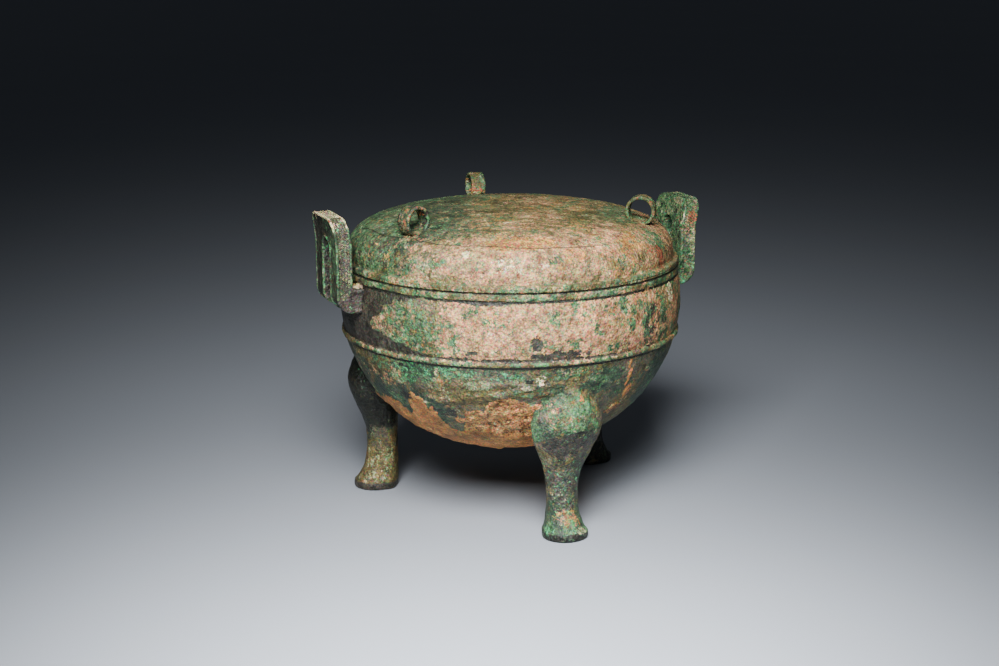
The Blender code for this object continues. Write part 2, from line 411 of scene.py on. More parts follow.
def open_tree(name: str, sockets: dict[str, str], output: str) -> tuple[Graph, list[Value]]:
    """Starts a Geometry Nodes tree.

    Args:
        name: the tree's name.
        sockets: its inputs' names, and the kind of each. A material comes after them.
        output: name of the geometry that it gives.

    Returns:
        The graph, and its inputs' values in order.
    """
    tree = bpy.data.node_groups.new(name, "GeometryNodeTree")
    graph = Graph(tree)
    sockets = sockets | {"Material": "Material"}
    for socket, kind in sockets.items():
        tree.interface.new_socket(socket, in_out="INPUT", socket_type=f"NodeSocket{kind}")
    tree.interface.new_socket(output, in_out="OUTPUT", socket_type="NodeSocketGeometry")
    given = graph.add("NodeGroupInput").socket.node.outputs
    return graph, [Value(graph, given[index]) for index in range(len(sockets))]


def close_tree(graph: Graph, shape: Value, material: Value, output: str) -> NodeTree:
    """Ends a Geometry Nodes tree, with its instances made real and its material set."""
    real = graph.add("GeometryNodeRealizeInstances", inputs={"Geometry": shape})
    dressed = graph.add("GeometryNodeSetMaterial", inputs={"Geometry": real, "Material": material})
    graph.add("NodeGroupOutput", inputs={output: dressed})
    return graph.tree


def run_tree(base: Mesh, tree: NodeTree, material: Material, inputs: dict[str, float]) -> Mesh:
    """Runs a Geometry Nodes tree.

    Args:
        base: the mesh that it is given, whose name the result takes.
        tree: the tree.
        material: what the result is made of.
        inputs: its other inputs by name. All are set by their identifiers.

    Returns:
        The plain mesh that it makes, with its faces turned outwards.
    """
    holder = make_object(base.name, base)
    modifier = holder.modifiers.new(tree.name, "NODES")
    modifier.node_group = tree
    given = inputs | {"Material": material}
    for item in tree.interface.items_tree:
        if item.item_type == "SOCKET" and item.in_out == "INPUT" and item.name in given:
            modifier[item.identifier] = given[item.name]
    mesh = evaluated(holder, base.name)
    own = [kept for kept in base.attributes if not kept.is_internal and not kept.is_required]
    for name in [kept.name for kept in own]:
        if name in mesh.attributes:
            mesh.attributes.remove(mesh.attributes[name])
    face_outwards(mesh)
    return mesh


@dataclass(frozen=True)
class Turning:
    """Makes closed forms of revolution with a Geometry Nodes tree."""

    steps: int = 440
    merge: float = 0.002 * MM

    def tree(self) -> NodeTree:
        """The tree, which spins the polyline that it is given."""
        made = bpy.data.node_groups.get("turned_form")
        if made:
            return made
        sockets = {"Outline": "Geometry", "Rows": "Int", "Steps": "Int"}
        graph, (outline, rows, steps, material) = open_tree("turned_form", sockets, "Form")
        columns = steps + 1
        grid = graph.add("GeometryNodeMeshGrid", inputs={"Vertices X": rows, "Vertices Y": columns})
        index = graph.add("GeometryNodeInputIndex")
        row = graph.maths("FLOOR", (index + 0.5) / columns)
        column = index - row * columns
        place = graph.add("GeometryNodeInputPosition")
        point = graph.add(
            "GeometryNodeSampleIndex",
            {"data_type": "FLOAT_VECTOR", "domain": "POINT", "clamp": True},
            {"Geometry": outline, "Value": place, "Index": row},
        )
        turned = graph.add(
            "ShaderNodeVectorRotate",
            {"rotation_type": "Z_AXIS"},
            {"Vector": point, "Angle": column / steps * math.tau},
        )
        moved = graph.add("GeometryNodeSetPosition", inputs={"Geometry": grid, "Position": turned})
        merged = graph.add("GeometryNodeMergeByDistance", inputs={"Geometry": moved, "Distance": self.merge})
        return close_tree(graph, merged, material, "Form")

    def make(self, name: str, outline: Outline, material: Material) -> Mesh:
        """Spins an outline of (radius, height) points, which starts and ends on the axis, round Z."""
        line = bpy.data.meshes.new(name)
        line.from_pydata([(r, 0.0, z) for r, z in outline], list(itertools.pairwise(range(len(outline)))), [])
        return run_tree(line, self.tree(), material, {"Rows": len(outline), "Steps": self.steps})


# Corrosion


@dataclass(frozen=True)
class Layer:
    """One kind of corrosion, crust or bare metal.

    Its specks run from the grain's size up to the spread, with edges as soft as given, and its two tones mix
    in specks of their own sizes. Sizes and height are in millimetres.
    """

    name: str
    dark: Colour
    light: Colour
    grain: float
    spread: float
    soft: float
    roughness: float
    height: float
    tone_grain: float = 0.5
    tone_spread: float = 3.0


LAYERS = (
    Layer("olive", (0.040, 0.039, 0.015), (0.20, 0.165, 0.070), 0.5, 7, 0.35, 0.62, 0.04),
    Layer("teal", (0.009, 0.024, 0.018), (0.055, 0.100, 0.069), 0.5, 8, 0.30, 0.55, 0.03),
    Layer("rose", (0.19, 0.088, 0.048), (0.72, 0.465, 0.270), 0.5, 5, 0.35, 0.62, 0.06, 0.45, 4),
    Layer("ochre", (0.20, 0.095, 0.026), (0.63, 0.37, 0.12), 0.5, 4, 0.35, 0.70, 0.06),
    Layer("verdigris", (0.014, 0.056, 0.028), (0.115, 0.27, 0.145), 0.5, 5, 0.30, 0.66, 0.08),
    Layer("crust", (0.085, 0.115, 0.062), (0.42, 0.48, 0.31), 0.5, 5, 0.30, 0.75, 0.14),
    Layer("copper", (0.068, 0.028, 0.010), (0.90, 0.455, 0.185), 0.6, 6, 0.15, 0.34, 0.12, 0.6, 5),
    Layer("tan", (0.260, 0.112, 0.035), (0.63, 0.29, 0.092), 0.6, 8, 0.08, 0.50, 0.15, 0.7, 8),
    Layer("slate", (0.014, 0.013, 0.012), (0.070, 0.068, 0.062), 0.5, 5, 0.12, 0.45, -0.06),
    Layer("emerald", (0.012, 0.12, 0.055), (0.09, 0.50, 0.24), 0.5, 3, 0.15, 0.70, 0.12),
    Layer("black", (0.004, 0.005, 0.004), (0.026, 0.030, 0.024), 0.6, 5, 0.20, 0.50, -0.05),
    Layer("cream", (0.46, 0.42, 0.26), (0.92, 0.86, 0.60), 0.5, 3, 0.15, 0.80, 0.12),
    Layer("rust", (0.13, 0.030, 0.022), (0.45, 0.14, 0.08), 0.5, 3, 0.15, 0.70, 0.03),
)
# Layers whose patches end sharply
CRISP = ("slate", "black", "tan", "copper", "cream")
# Where a patch starts and where it is full, in patch sizes from its middle, and how far noise tears its edge
CRISP_EDGE = (1.12, 0.86, 0.65)
SOFT_EDGE = (1.30, 0.60, 1.0)
# Height, size in mm and seed of each noise that tears the edges
TEARS = ((0.34, 9, 70), (0.30, 4, 71), (0.24, 1.9, 72))
# Surfaces that the photograph doesn't show: a layer's share where none is named, the least share that noise
# moves, and how far
UNSEEN_SHARE, UNSEEN_LEAST, UNSEEN_SWING = 0.02, 0.05, 0.25


@dataclass(frozen=True)
class Growth:
    """How a layer grows over a zone: a middle share, what each field adds to it, and its limits."""

    layer: str
    zone: str
    middle: float
    adds: dict[str, float] = field(default_factory=dict)
    low: float = 0.0
    high: float = 1.0

    def share(self, fields: Fields) -> Array | float:
        """The share at each point."""
        moved = sum(fields[name] * amount for name, amount in self.adds.items())
        return np.clip(self.middle + moved, self.low, self.high)


def grown(growths: Sequence[Growth], zones: Fields, fields: Fields) -> Fields:
    """Every layer's share, from its growths in all zones. The zone named all is the whole piece."""
    count = len(next(iter(fields.values())))
    share = {layer.name: np.zeros(count) for layer in LAYERS}
    for growth in growths:
        zone = 1.0 if growth.zone == "all" else zones[growth.zone]
        share[growth.layer] = share[growth.layer] + zone * growth.share(fields)
    return share


def edge_over(share: Fields, zone: Array, levels: dict[str, float], noise: Array) -> None:
    """Gives layers their own levels, moved by noise, along an edge."""
    for name, level in levels.items():
        share[name] = share[name] * (1 - zone) + np.clip(level + noise, 0, 1) * zone


def thin_out(share: Fields, zone: Array, kept: dict[str, float]) -> None:
    """Keeps only a part of some layers in a zone."""
    for name, part in kept.items():
        share[name] = share[name] * (1 - (1 - part) * zone)


def lined(share: Fields, outside: Array, plain: dict[str, float], noise: Array) -> Fields:
    """The shares, with plain levels on the side that can't be seen, all held between 0 and 1."""
    for name in [layer.name for layer in LAYERS]:
        level = plain.get(name, UNSEEN_SHARE)
        inner = np.clip(level + UNSEEN_SWING * noise * (level > UNSEEN_LEAST), 0, 1)
        share[name] = share[name] * outside + (1 - outside) * inner
    return {name: np.clip(values, 0, 1) for name, values in share.items()}


@dataclass(frozen=True)
class Patch:
    """A place that a layer covers: its azimuth in degrees, and its other sizes in millimetres."""

    layer: str
    azimuth: float
    z: float
    around: float
    up: float
    share: float = 1.0
    radius: float = 0.0

    def cover(self, points: Array, ragged: Array, radius: float) -> Array:
        """Share of the surface that it covers at each point.

        Args:
            points: places in metres.
            ragged: noise that breaks the patch's edge.
            radius: the surface's distance from the axis at the patch, in metres.

        Returns:
            One share for each point.
        """
        turn = math.radians(self.azimuth)
        centre = np.array((radius * math.cos(turn), radius * math.sin(turn), self.z * MM))
        away = points - centre
        along = away @ np.array((-math.sin(turn), math.cos(turn), 0.0))
        rest = np.sum(away * away, axis=1) - along**2
        far = np.sqrt((along / (self.around * MM)) ** 2 + np.maximum(rest, 0) / (self.up * MM) ** 2)
        outer, inner, torn = CRISP_EDGE if self.layer in CRISP else SOFT_EDGE
        return self.share * step_up(far + torn * ragged, outer, inner)


def patches(*rows: tuple[str | float, ...]) -> tuple[Patch, ...]:
    """Patches from rows of their values."""
    return tuple(Patch(*row) for row in rows)


@dataclass(frozen=True)
class Shore:
    """A layer that lies below a wavy line round the bowl: (azimuth in degrees, height in millimetres)."""

    layer: str
    share: float
    low: float
    line: tuple[tuple[float, float], ...]
    # In mm: how far noise moves the line, how softly the layer starts, and how far below the line it is full
    wave: float = 2.2
    ease: float = 0.7
    full: float = 0.9
    # In degrees: how far it fades beyond its ends, and where the azimuth is counted from the other side
    fade: float = 3.0
    turn_over: float = 5.0

    def cover(self, points: Array, ragged: Array) -> Array:
        """Share of the surface that it covers at each point. Ragged is the noise that breaks its edge."""
        table = np.array(self.line)
        azimuth = azimuths(points)
        azimuth = np.where(azimuth > table[-1, 0] + self.turn_over, azimuth - 360, azimuth)
        beyond = np.maximum(table[0, 0] - azimuth, azimuth - table[-1, 0])
        z = points[:, 2] / MM
        under = np.interp(azimuth, table[:, 0], table[:, 1]) - z + self.wave * ragged
        above = step_up(z, self.low - self.ease, self.low + self.ease)
        return self.share * step_up(under, -self.ease, self.full) * above * step_up(beyond, self.fade, 0)


@dataclass(frozen=True)
class Patina:
    """Corrosion over one part of the object: where its layers lie and the material that shows them."""

    name: str
    base: Colour
    base_light: Colour
    patches: tuple[Patch, ...] = ()
    shores: tuple[Shore, ...] = ()
    on_lid: bool = False
    hue_swing: float = 1.0
    # Fine hues: how far each channel swings, its middle and its least
    hue_reach: Colour = (2.6, 2.1, 1.5)
    hue_middle: Colour = (1.03, 0.97, 0.87)
    hue_least: Colour = (0.15, 0.15, 0.12)
    # Tints of broad areas, some a little warmer and brighter and some darker and greener
    warm_tint: Colour = (1.14, 1.03, 0.96)
    green_tint: Colour = (0.80, 0.87, 0.74)
    # Painted shade for the pits of the fine grain
    grain_shade: Colour = (0.020, 0.022, 0.016)
    # Brushed streaks on the lid, and how far they are turned
    streak: Colour = (0.100, 0.120, 0.066)
    streak_turn: float = math.radians(21.0)
    streak_squeeze: Colour = (0.14, 1.0, 1.0)
    crack_dark: Colour = (0.012, 0.011, 0.009)
    crack_half: float = 0.28 * MM
    relief: float = 1.0 * MM
    gloss: float = 0.35

    def place(self, fields: Fields, points: Array, bowl: "Bowl") -> None:
        """Lays the shores and the patches into the fields."""
        ragged = sum(height * lattice(points, size, seed) for height, size, seed in TEARS)
        if self.shores:
            outer = np.array([bowl.outer_radius(z) for z in points[:, 2]])
            on_bowl = step_up(np.hypot(points[:, 0], points[:, 1]) - outer, 2.0 * MM, 0.8 * MM)
            for shore in self.shores:
                cover = shore.cover(points, ragged) * on_bowl
                fields[shore.layer] = np.maximum(fields[shore.layer], cover)
        pale = {name: fields[name].copy() for name in ("cream", "rust")}
        for patch in self.patches:
            radius = patch.radius * MM if patch.radius else bowl.outer_radius(patch.z * MM)
            cover = patch.cover(points, ragged, radius)
            fields[patch.layer] = np.maximum(fields[patch.layer], cover)
        # Stray pale specks don't show where a dark patch lies, but pale patches do.
        clear = 1 - np.clip(np.maximum(fields["slate"], fields["black"]) * 1.2, 0, 1)
        for name, before in pale.items():
            fields[name] = np.where(fields[name] > before, fields[name], before * clear)

    def material(self) -> Material:
        """The material that shows the layers over the base."""
        made = bpy.data.materials.new(self.name)
        made.use_nodes = True
        graph = Graph(made.node_tree)
        coords = graph.add("ShaderNodeTexCoord", output="Object")
        colour, rough, height, lumpy = self.layered(graph, coords)
        if self.on_lid:
            colour = self.streaked(graph, coords, colour)
        fine = speckle(graph, coords, 0.45, 1.4)
        middle = speckle(graph, coords, 1.2, 5)
        height = height + fine * (lumpy * 0.30 + 0.20) + middle * (lumpy * 1.1 + 0.42)
        colour = self.specked(graph, coords, colour)
        # Painted shade darkens the low grain, the pits that the bump lowers.
        colour = graph.mixed((0.55 - fine) * 0.8, colour, self.grain_shade)
        if self.on_lid:
            away = graph.maths("ABSOLUTE", graph.attribute("crack"))
            crack = (1.0 - away / self.crack_half).clamped()
            colour = graph.mixed(crack * 0.9, colour, self.crack_dark)
            height = height - crack * 0.35
        bump = {"Strength": 1.0, "Distance": self.relief, "Height": height}
        normal = graph.add("ShaderNodeBump", inputs=bump)
        finish = {"Base Color": colour, "Roughness": rough, "Normal": normal}
        finish["Specular IOR Level"] = self.gloss
        shader = graph.add("ShaderNodeBsdfPrincipled", inputs=finish)
        graph.add("ShaderNodeOutputMaterial", inputs={"Surface": shader})
        return made

    def layered(self, graph: Graph, coords: Value) -> tuple[Value, Number, Number, Number]:
        """The layers in order over the base.

        Args:
            graph: the material's graph.
            coords: where the surface is.

        Returns:
            Their colour, roughness and height, and the share of the lumpy copper-coloured crust.
        """
        colour = graph.mixed(speckle(graph, coords, 0.6, 8), self.base, self.base_light)
        rough: Number = 0.55
        height: Number = 0.0
        lumpy: Number = 0.0
        for index, layer in enumerate(LAYERS):
            # Each layer's noise is looked up in a place of its own.
            shift = (0.031 * (index + 1), 0.017 * (index + 2), 0.023 * (index + 3))
            here = graph.vector("ADD", coords, shift)
            share = graph.attribute(layer.name)
            grain = speckle(graph, here, layer.grain, layer.spread)
            mask = ((grain - 1 + share * (1 + layer.soft)) / layer.soft).clamped()
            tones = speckle(graph, here, layer.tone_grain, layer.tone_spread)
            colour = graph.mixed(mask, colour, graph.mixed(tones, layer.dark, layer.light))
            rough = graph.mixed(mask, rough, layer.roughness)
            height = height + mask * layer.height
            lumpy = share if layer.name == "copper" else lumpy
        return colour, rough, height, lumpy

    def streaked(self, graph: Graph, coords: Value, colour: Value) -> Value:
        """The colour, with brushed streaks across it."""
        turn = {"Vector": coords, "Angle": self.streak_turn}
        turned = graph.add("ShaderNodeVectorRotate", {"rotation_type": "Z_AXIS"}, turn)
        drawn = speckle(graph, graph.vector("MULTIPLY", turned, self.streak_squeeze), 0.6, 5)
        return graph.mixed((drawn - 0.25) * graph.attribute("streak"), colour, self.streak)

    def specked(self, graph: Graph, coords: Value, colour: Value) -> Value:
        """The colour, with fine specks of many hues and broad areas of two tints."""
        # Each channel has fine noise of its own.
        fine = {"Vector": coords, "Scale": 1 / (1.0 * MM), "Detail": 1.0}
        hues = graph.add("ShaderNodeTexNoise", inputs=fine, output="Color")
        reach = tuple(self.hue_swing * channel for channel in self.hue_reach)
        swing = graph.vector("MULTIPLY", graph.vector("SUBTRACT", hues, (0.5, 0.5, 0.5)), reach)
        gain = graph.vector("MAXIMUM", graph.vector("ADD", swing, self.hue_middle), self.hue_least)
        mottle = speckle(graph, coords, 2.0, 12) * 0.60 + 0.66
        even = graph.add("ShaderNodeCombineXYZ", inputs={0: mottle, 1: mottle, 2: mottle})
        colour = graph.vector("MULTIPLY", colour, graph.vector("MULTIPLY", gain, even))
        broad = speckle(graph, coords, 7, 32)
        return graph.vector("MULTIPLY", colour, graph.mixed(broad, self.warm_tint, self.green_tint))


def speckle(graph: Graph, coords: Value, grain: float, spread: float) -> Value:
    """Noise that fills 0 to 1 fairly evenly, with features from the grain's size to the spread, in mm."""
    sizes = {"Scale": 1 / (spread * MM), "Detail": math.log2(spread / grain), "Roughness": 0.88}
    noise = graph.add("ShaderNodeTexNoise", {"noise_dimensions": "3D"}, {"Vector": coords} | sizes)
    return ((noise - 0.5) * 3.9 + 0.5).clamped()


# Vessel


@dataclass(frozen=True)
class Bowl:
    """The turned wall of the vessel, its rib, its rim band and the flange that the lid sits round."""

    belly_r: float = 0.0982
    rib_z: float = 0.1050
    rib_r: float = 0.0018
    depth: float = 0.0684
    powers: tuple[float, float] = (2.72, 1.40)
    wall: float = 0.0026
    bulge: float = 0.0023
    lean: float = 0.0006
    mouth_z: float = 0.1444
    band_h: float = 0.0042
    band_proud: float = 0.0007
    band_edge: float = 0.0009
    flange_h: float = 0.0066
    flange_r: float = 0.0928
    mouth_r: float = 0.0902
    shoulder_h: float = 0.0120
    row_step: float = 1.35 * MM
    inner_step: float = 4.5 * MM
    # Finer rows beside the rib and the rim, and how far they reach below the rib
    fine_step: float = 0.5 * MM
    fine_h: float = 0.0045

    def upper_radius(self, z: float) -> float:
        """Outer radius of the wall between the rib and the rim."""
        share = (z - self.rib_z) / (self.mouth_z - self.band_h - self.rib_z)
        return self.belly_r + self.lean * share + self.bulge * 4 * share * (1 - share)

    def outer_radius(self, z: float) -> float:
        """Outer radius of the bowl at any height."""
        if z >= self.rib_z:
            return self.upper_radius(min(z, self.mouth_z))
        drop = min((self.rib_z - z) / self.depth, 0.9999)
        return self.belly_r * (1 - drop ** self.powers[1]) ** (1 / self.powers[0])

    def outside(self) -> Outline:
        """Outer outline, from the axis under the bowl up to the flange."""
        under = [(r, self.rib_z - drop) for r, drop in power_curve(self.belly_r, self.depth, self.powers)]
        under = [point for point in under[::-1] if point[1] < self.rib_z - self.rib_r]
        rib = arc((self.belly_r, self.rib_z), self.rib_r, -50, 50, 7)
        band_z = self.mouth_z - self.band_h
        heights = np.linspace(self.rib_z + self.rib_r, band_z - 0.0003, 40)
        upper = [(self.upper_radius(z), z) for z in heights]
        out = self.belly_r + self.lean + self.band_proud
        edge = self.band_edge
        rim = arc((out - edge, band_z + edge), edge, -70, 0, 3)
        rim += [(out, band_z + self.band_h / 2)]
        rim += arc((out - edge, self.mouth_z - edge), edge, 0, 90, 3)
        ledge = [(self.flange_r + 0.0003, self.mouth_z), (self.flange_r, self.mouth_z + 0.0004)]
        top = self.mouth_z + self.flange_h
        ledge += arc((self.flange_r - edge, top - edge), edge, 0, 90, 3)
        fine = [point for point in under if point[1] > self.rib_z - self.fine_h]
        under = [point for point in under if point[1] <= self.rib_z - self.fine_h]
        lower = resample(under, self.row_step) + resample(fine, self.fine_step)
        above_rib = resample(upper[:4], self.fine_step)[:-1]
        below_rim = resample(upper[-3:], self.fine_step)[1:]
        return lower + rib + above_rib + resample(upper[3:-3], self.row_step) + below_rim + rim + ledge

    def inside(self, gap: float = 0.0) -> Outline:
        """Inner outline, from the flange down to the axis, moved outwards into the wall by a gap."""
        edge = self.band_edge
        top = self.mouth_z + self.flange_h
        mouth = arc((self.mouth_r + edge, top - edge), edge, 90, 180, 3) + [(self.mouth_r, self.mouth_z)]
        heights = np.linspace(self.mouth_z - self.shoulder_h, self.rib_z, 12)
        upper = [(self.upper_radius(z) - self.wall + gap, z) for z in heights]
        curve = power_curve(self.belly_r - self.wall + gap, self.depth - self.wall + gap, self.powers)
        lower = [(r, self.rib_z - drop) for r, drop in curve[1:]]
        return mouth + resample(upper, self.inner_step) + resample(lower, self.inner_step)

    def mesh(self, material: Material) -> Mesh:
        """The bowl's closed shell."""
        return Turning().make("bowl", self.outside() + self.inside(), material)

    def core(self, material: Material) -> Mesh:
        """A solid that ends half way through the wall, to trim the legs with."""
        inside = self.inside(self.wall / 2)
        return Turning(steps=160).make("core", [(0.0, self.mouth_z + self.flange_h)] + inside, material)


@dataclass(frozen=True)
class Leg:
    """A leg that bulges to a knee under the bowl and stands on a round foot."""

    azimuths: tuple[float, ...] = (-89.6, 30.0, 150.0)
    foot_centre: float = 0.0835
    foot_r: float = 0.0133
    top_z: float = 0.0920
    top_half_w: float = 0.0030
    front_power: float = 2.1
    back_power: float = 3.6
    back_taper: float = 0.28
    edge: float = 0.0011
    around: int = 72
    row: float = 1.35 * MM
    # Grid of the fine profile in mm, and how far its corners are eased at the foot and above it
    grid: float = 0.5
    easing: tuple[float, float] = (0.3, 3.2)
    # Rows of points round the foot, in mm
    foot_rows: tuple[float, ...] = (0.0, 0.25, 0.7, 1.2, 2.2, 3.1, 3.7, 4.0, 4.3, 4.6, 5.0, 5.6, 6.4)
    # Share of the height, how far the front stands beyond the middle of the foot, and half width
    stations: tuple[tuple[float, float, float], ...] = (
        (0.000, 0.0133, 0.0133), (0.044, 0.0133, 0.0133), (0.050, 0.0120, 0.0123), (0.080, 0.0101, 0.0112),
        (0.150, 0.0064, 0.0094), (0.250, 0.0053, 0.0090), (0.360, 0.0048, 0.0095), (0.440, 0.0058, 0.0118),
        (0.520, 0.0083, 0.0149), (0.600, 0.0114, 0.0184), (0.690, 0.0147, 0.0211), (0.765, 0.0161, 0.0212),
        (0.830, 0.0147, 0.0190), (0.890, 0.0119, 0.0150), (0.950, 0.0103, 0.0096),
    )

    def sizes(self, bowl: Bowl) -> Array:
        """Height, front and half width of the leg at closely spaced heights, with its corners eased."""
        top = (1.0, bowl.outer_radius(self.top_z) - 0.0006 - self.foot_centre, self.top_half_w)
        table = np.array(self.stations + (top,))
        fine = np.arange(-20, 205) * self.grid * MM
        shape = np.stack([np.interp(fine, table[:, 0] * self.top_z, table[:, i]) for i in (1, 2)], axis=1)
        eased = []
        for spread in self.easing:
            kernel = np.exp(-0.5 * (np.arange(-15, 16) * self.grid / spread) ** 2)
            kernel /= kernel.sum()
            eased.append(np.stack([np.convolve(shape[:, i], kernel, mode="same") for i in (0, 1)], axis=1))
        share = step_up(fine, 0.008, 0.016)[:, None]
        smooth = eased[0] * (1 - share) + eased[1] * share
        ends = step_up(fine, self.top_z - 0.006, self.top_z)[:, None]
        smooth = smooth * (1 - ends) + shape * ends
        heights = np.concatenate((self.foot_rows, np.arange(7.5, 91.8, self.row / MM), [92.0])) * MM
        rows = np.stack([heights] + [np.interp(heights, fine, smooth[:, i]) for i in (0, 1)], axis=1)
        under = self.edge * np.array((1.0, 0.45, 0.10))
        rows[:3, 1:] -= under[:, None]
        return rows

    def mesh(self, bowl: Bowl, material: Material) -> Mesh:
        """All three legs as closed solids, before they are trimmed to the bowl."""
        rows = self.sizes(bowl)
        angles = math.tau * (np.arange(self.around) + 0.5) / self.around
        cos, sin = np.cos(angles), np.sin(angles)
        power = np.where(cos > 0, self.front_power, self.back_power)
        across = np.sign(cos) * np.abs(cos) ** (2 / power)
        side = np.sign(sin) * np.abs(sin) ** (2 / power) * (1 - self.back_taper * np.maximum(0, -across))
        points = []
        for z, front, half in rows:
            inset = max(0.0, self.foot_r - half) if z < 1.0 * MM else 0.0
            back = self.foot_centre - self.foot_r + inset
            middle = (self.foot_centre + front + back) / 2
            reach = self.foot_centre + front - middle
            points.append(np.stack([middle + reach * across, half * side, np.full(self.around, z)], axis=1))
        single = np.concatenate(points)
        faces = tube_faces(len(rows), self.around)
        every_point, every_face = [], []
        for azimuth in self.azimuths:
            turn = np.array(Matrix.Rotation(math.radians(azimuth), 3, "Z"))
            shift = len(every_point) * len(single)
            every_point.append(single @ turn.T)
            every_face += [[corner + shift for corner in face] for face in faces]
        mesh = make_mesh("legs", np.concatenate(every_point), every_face)
        mesh.materials.append(material)
        return mesh


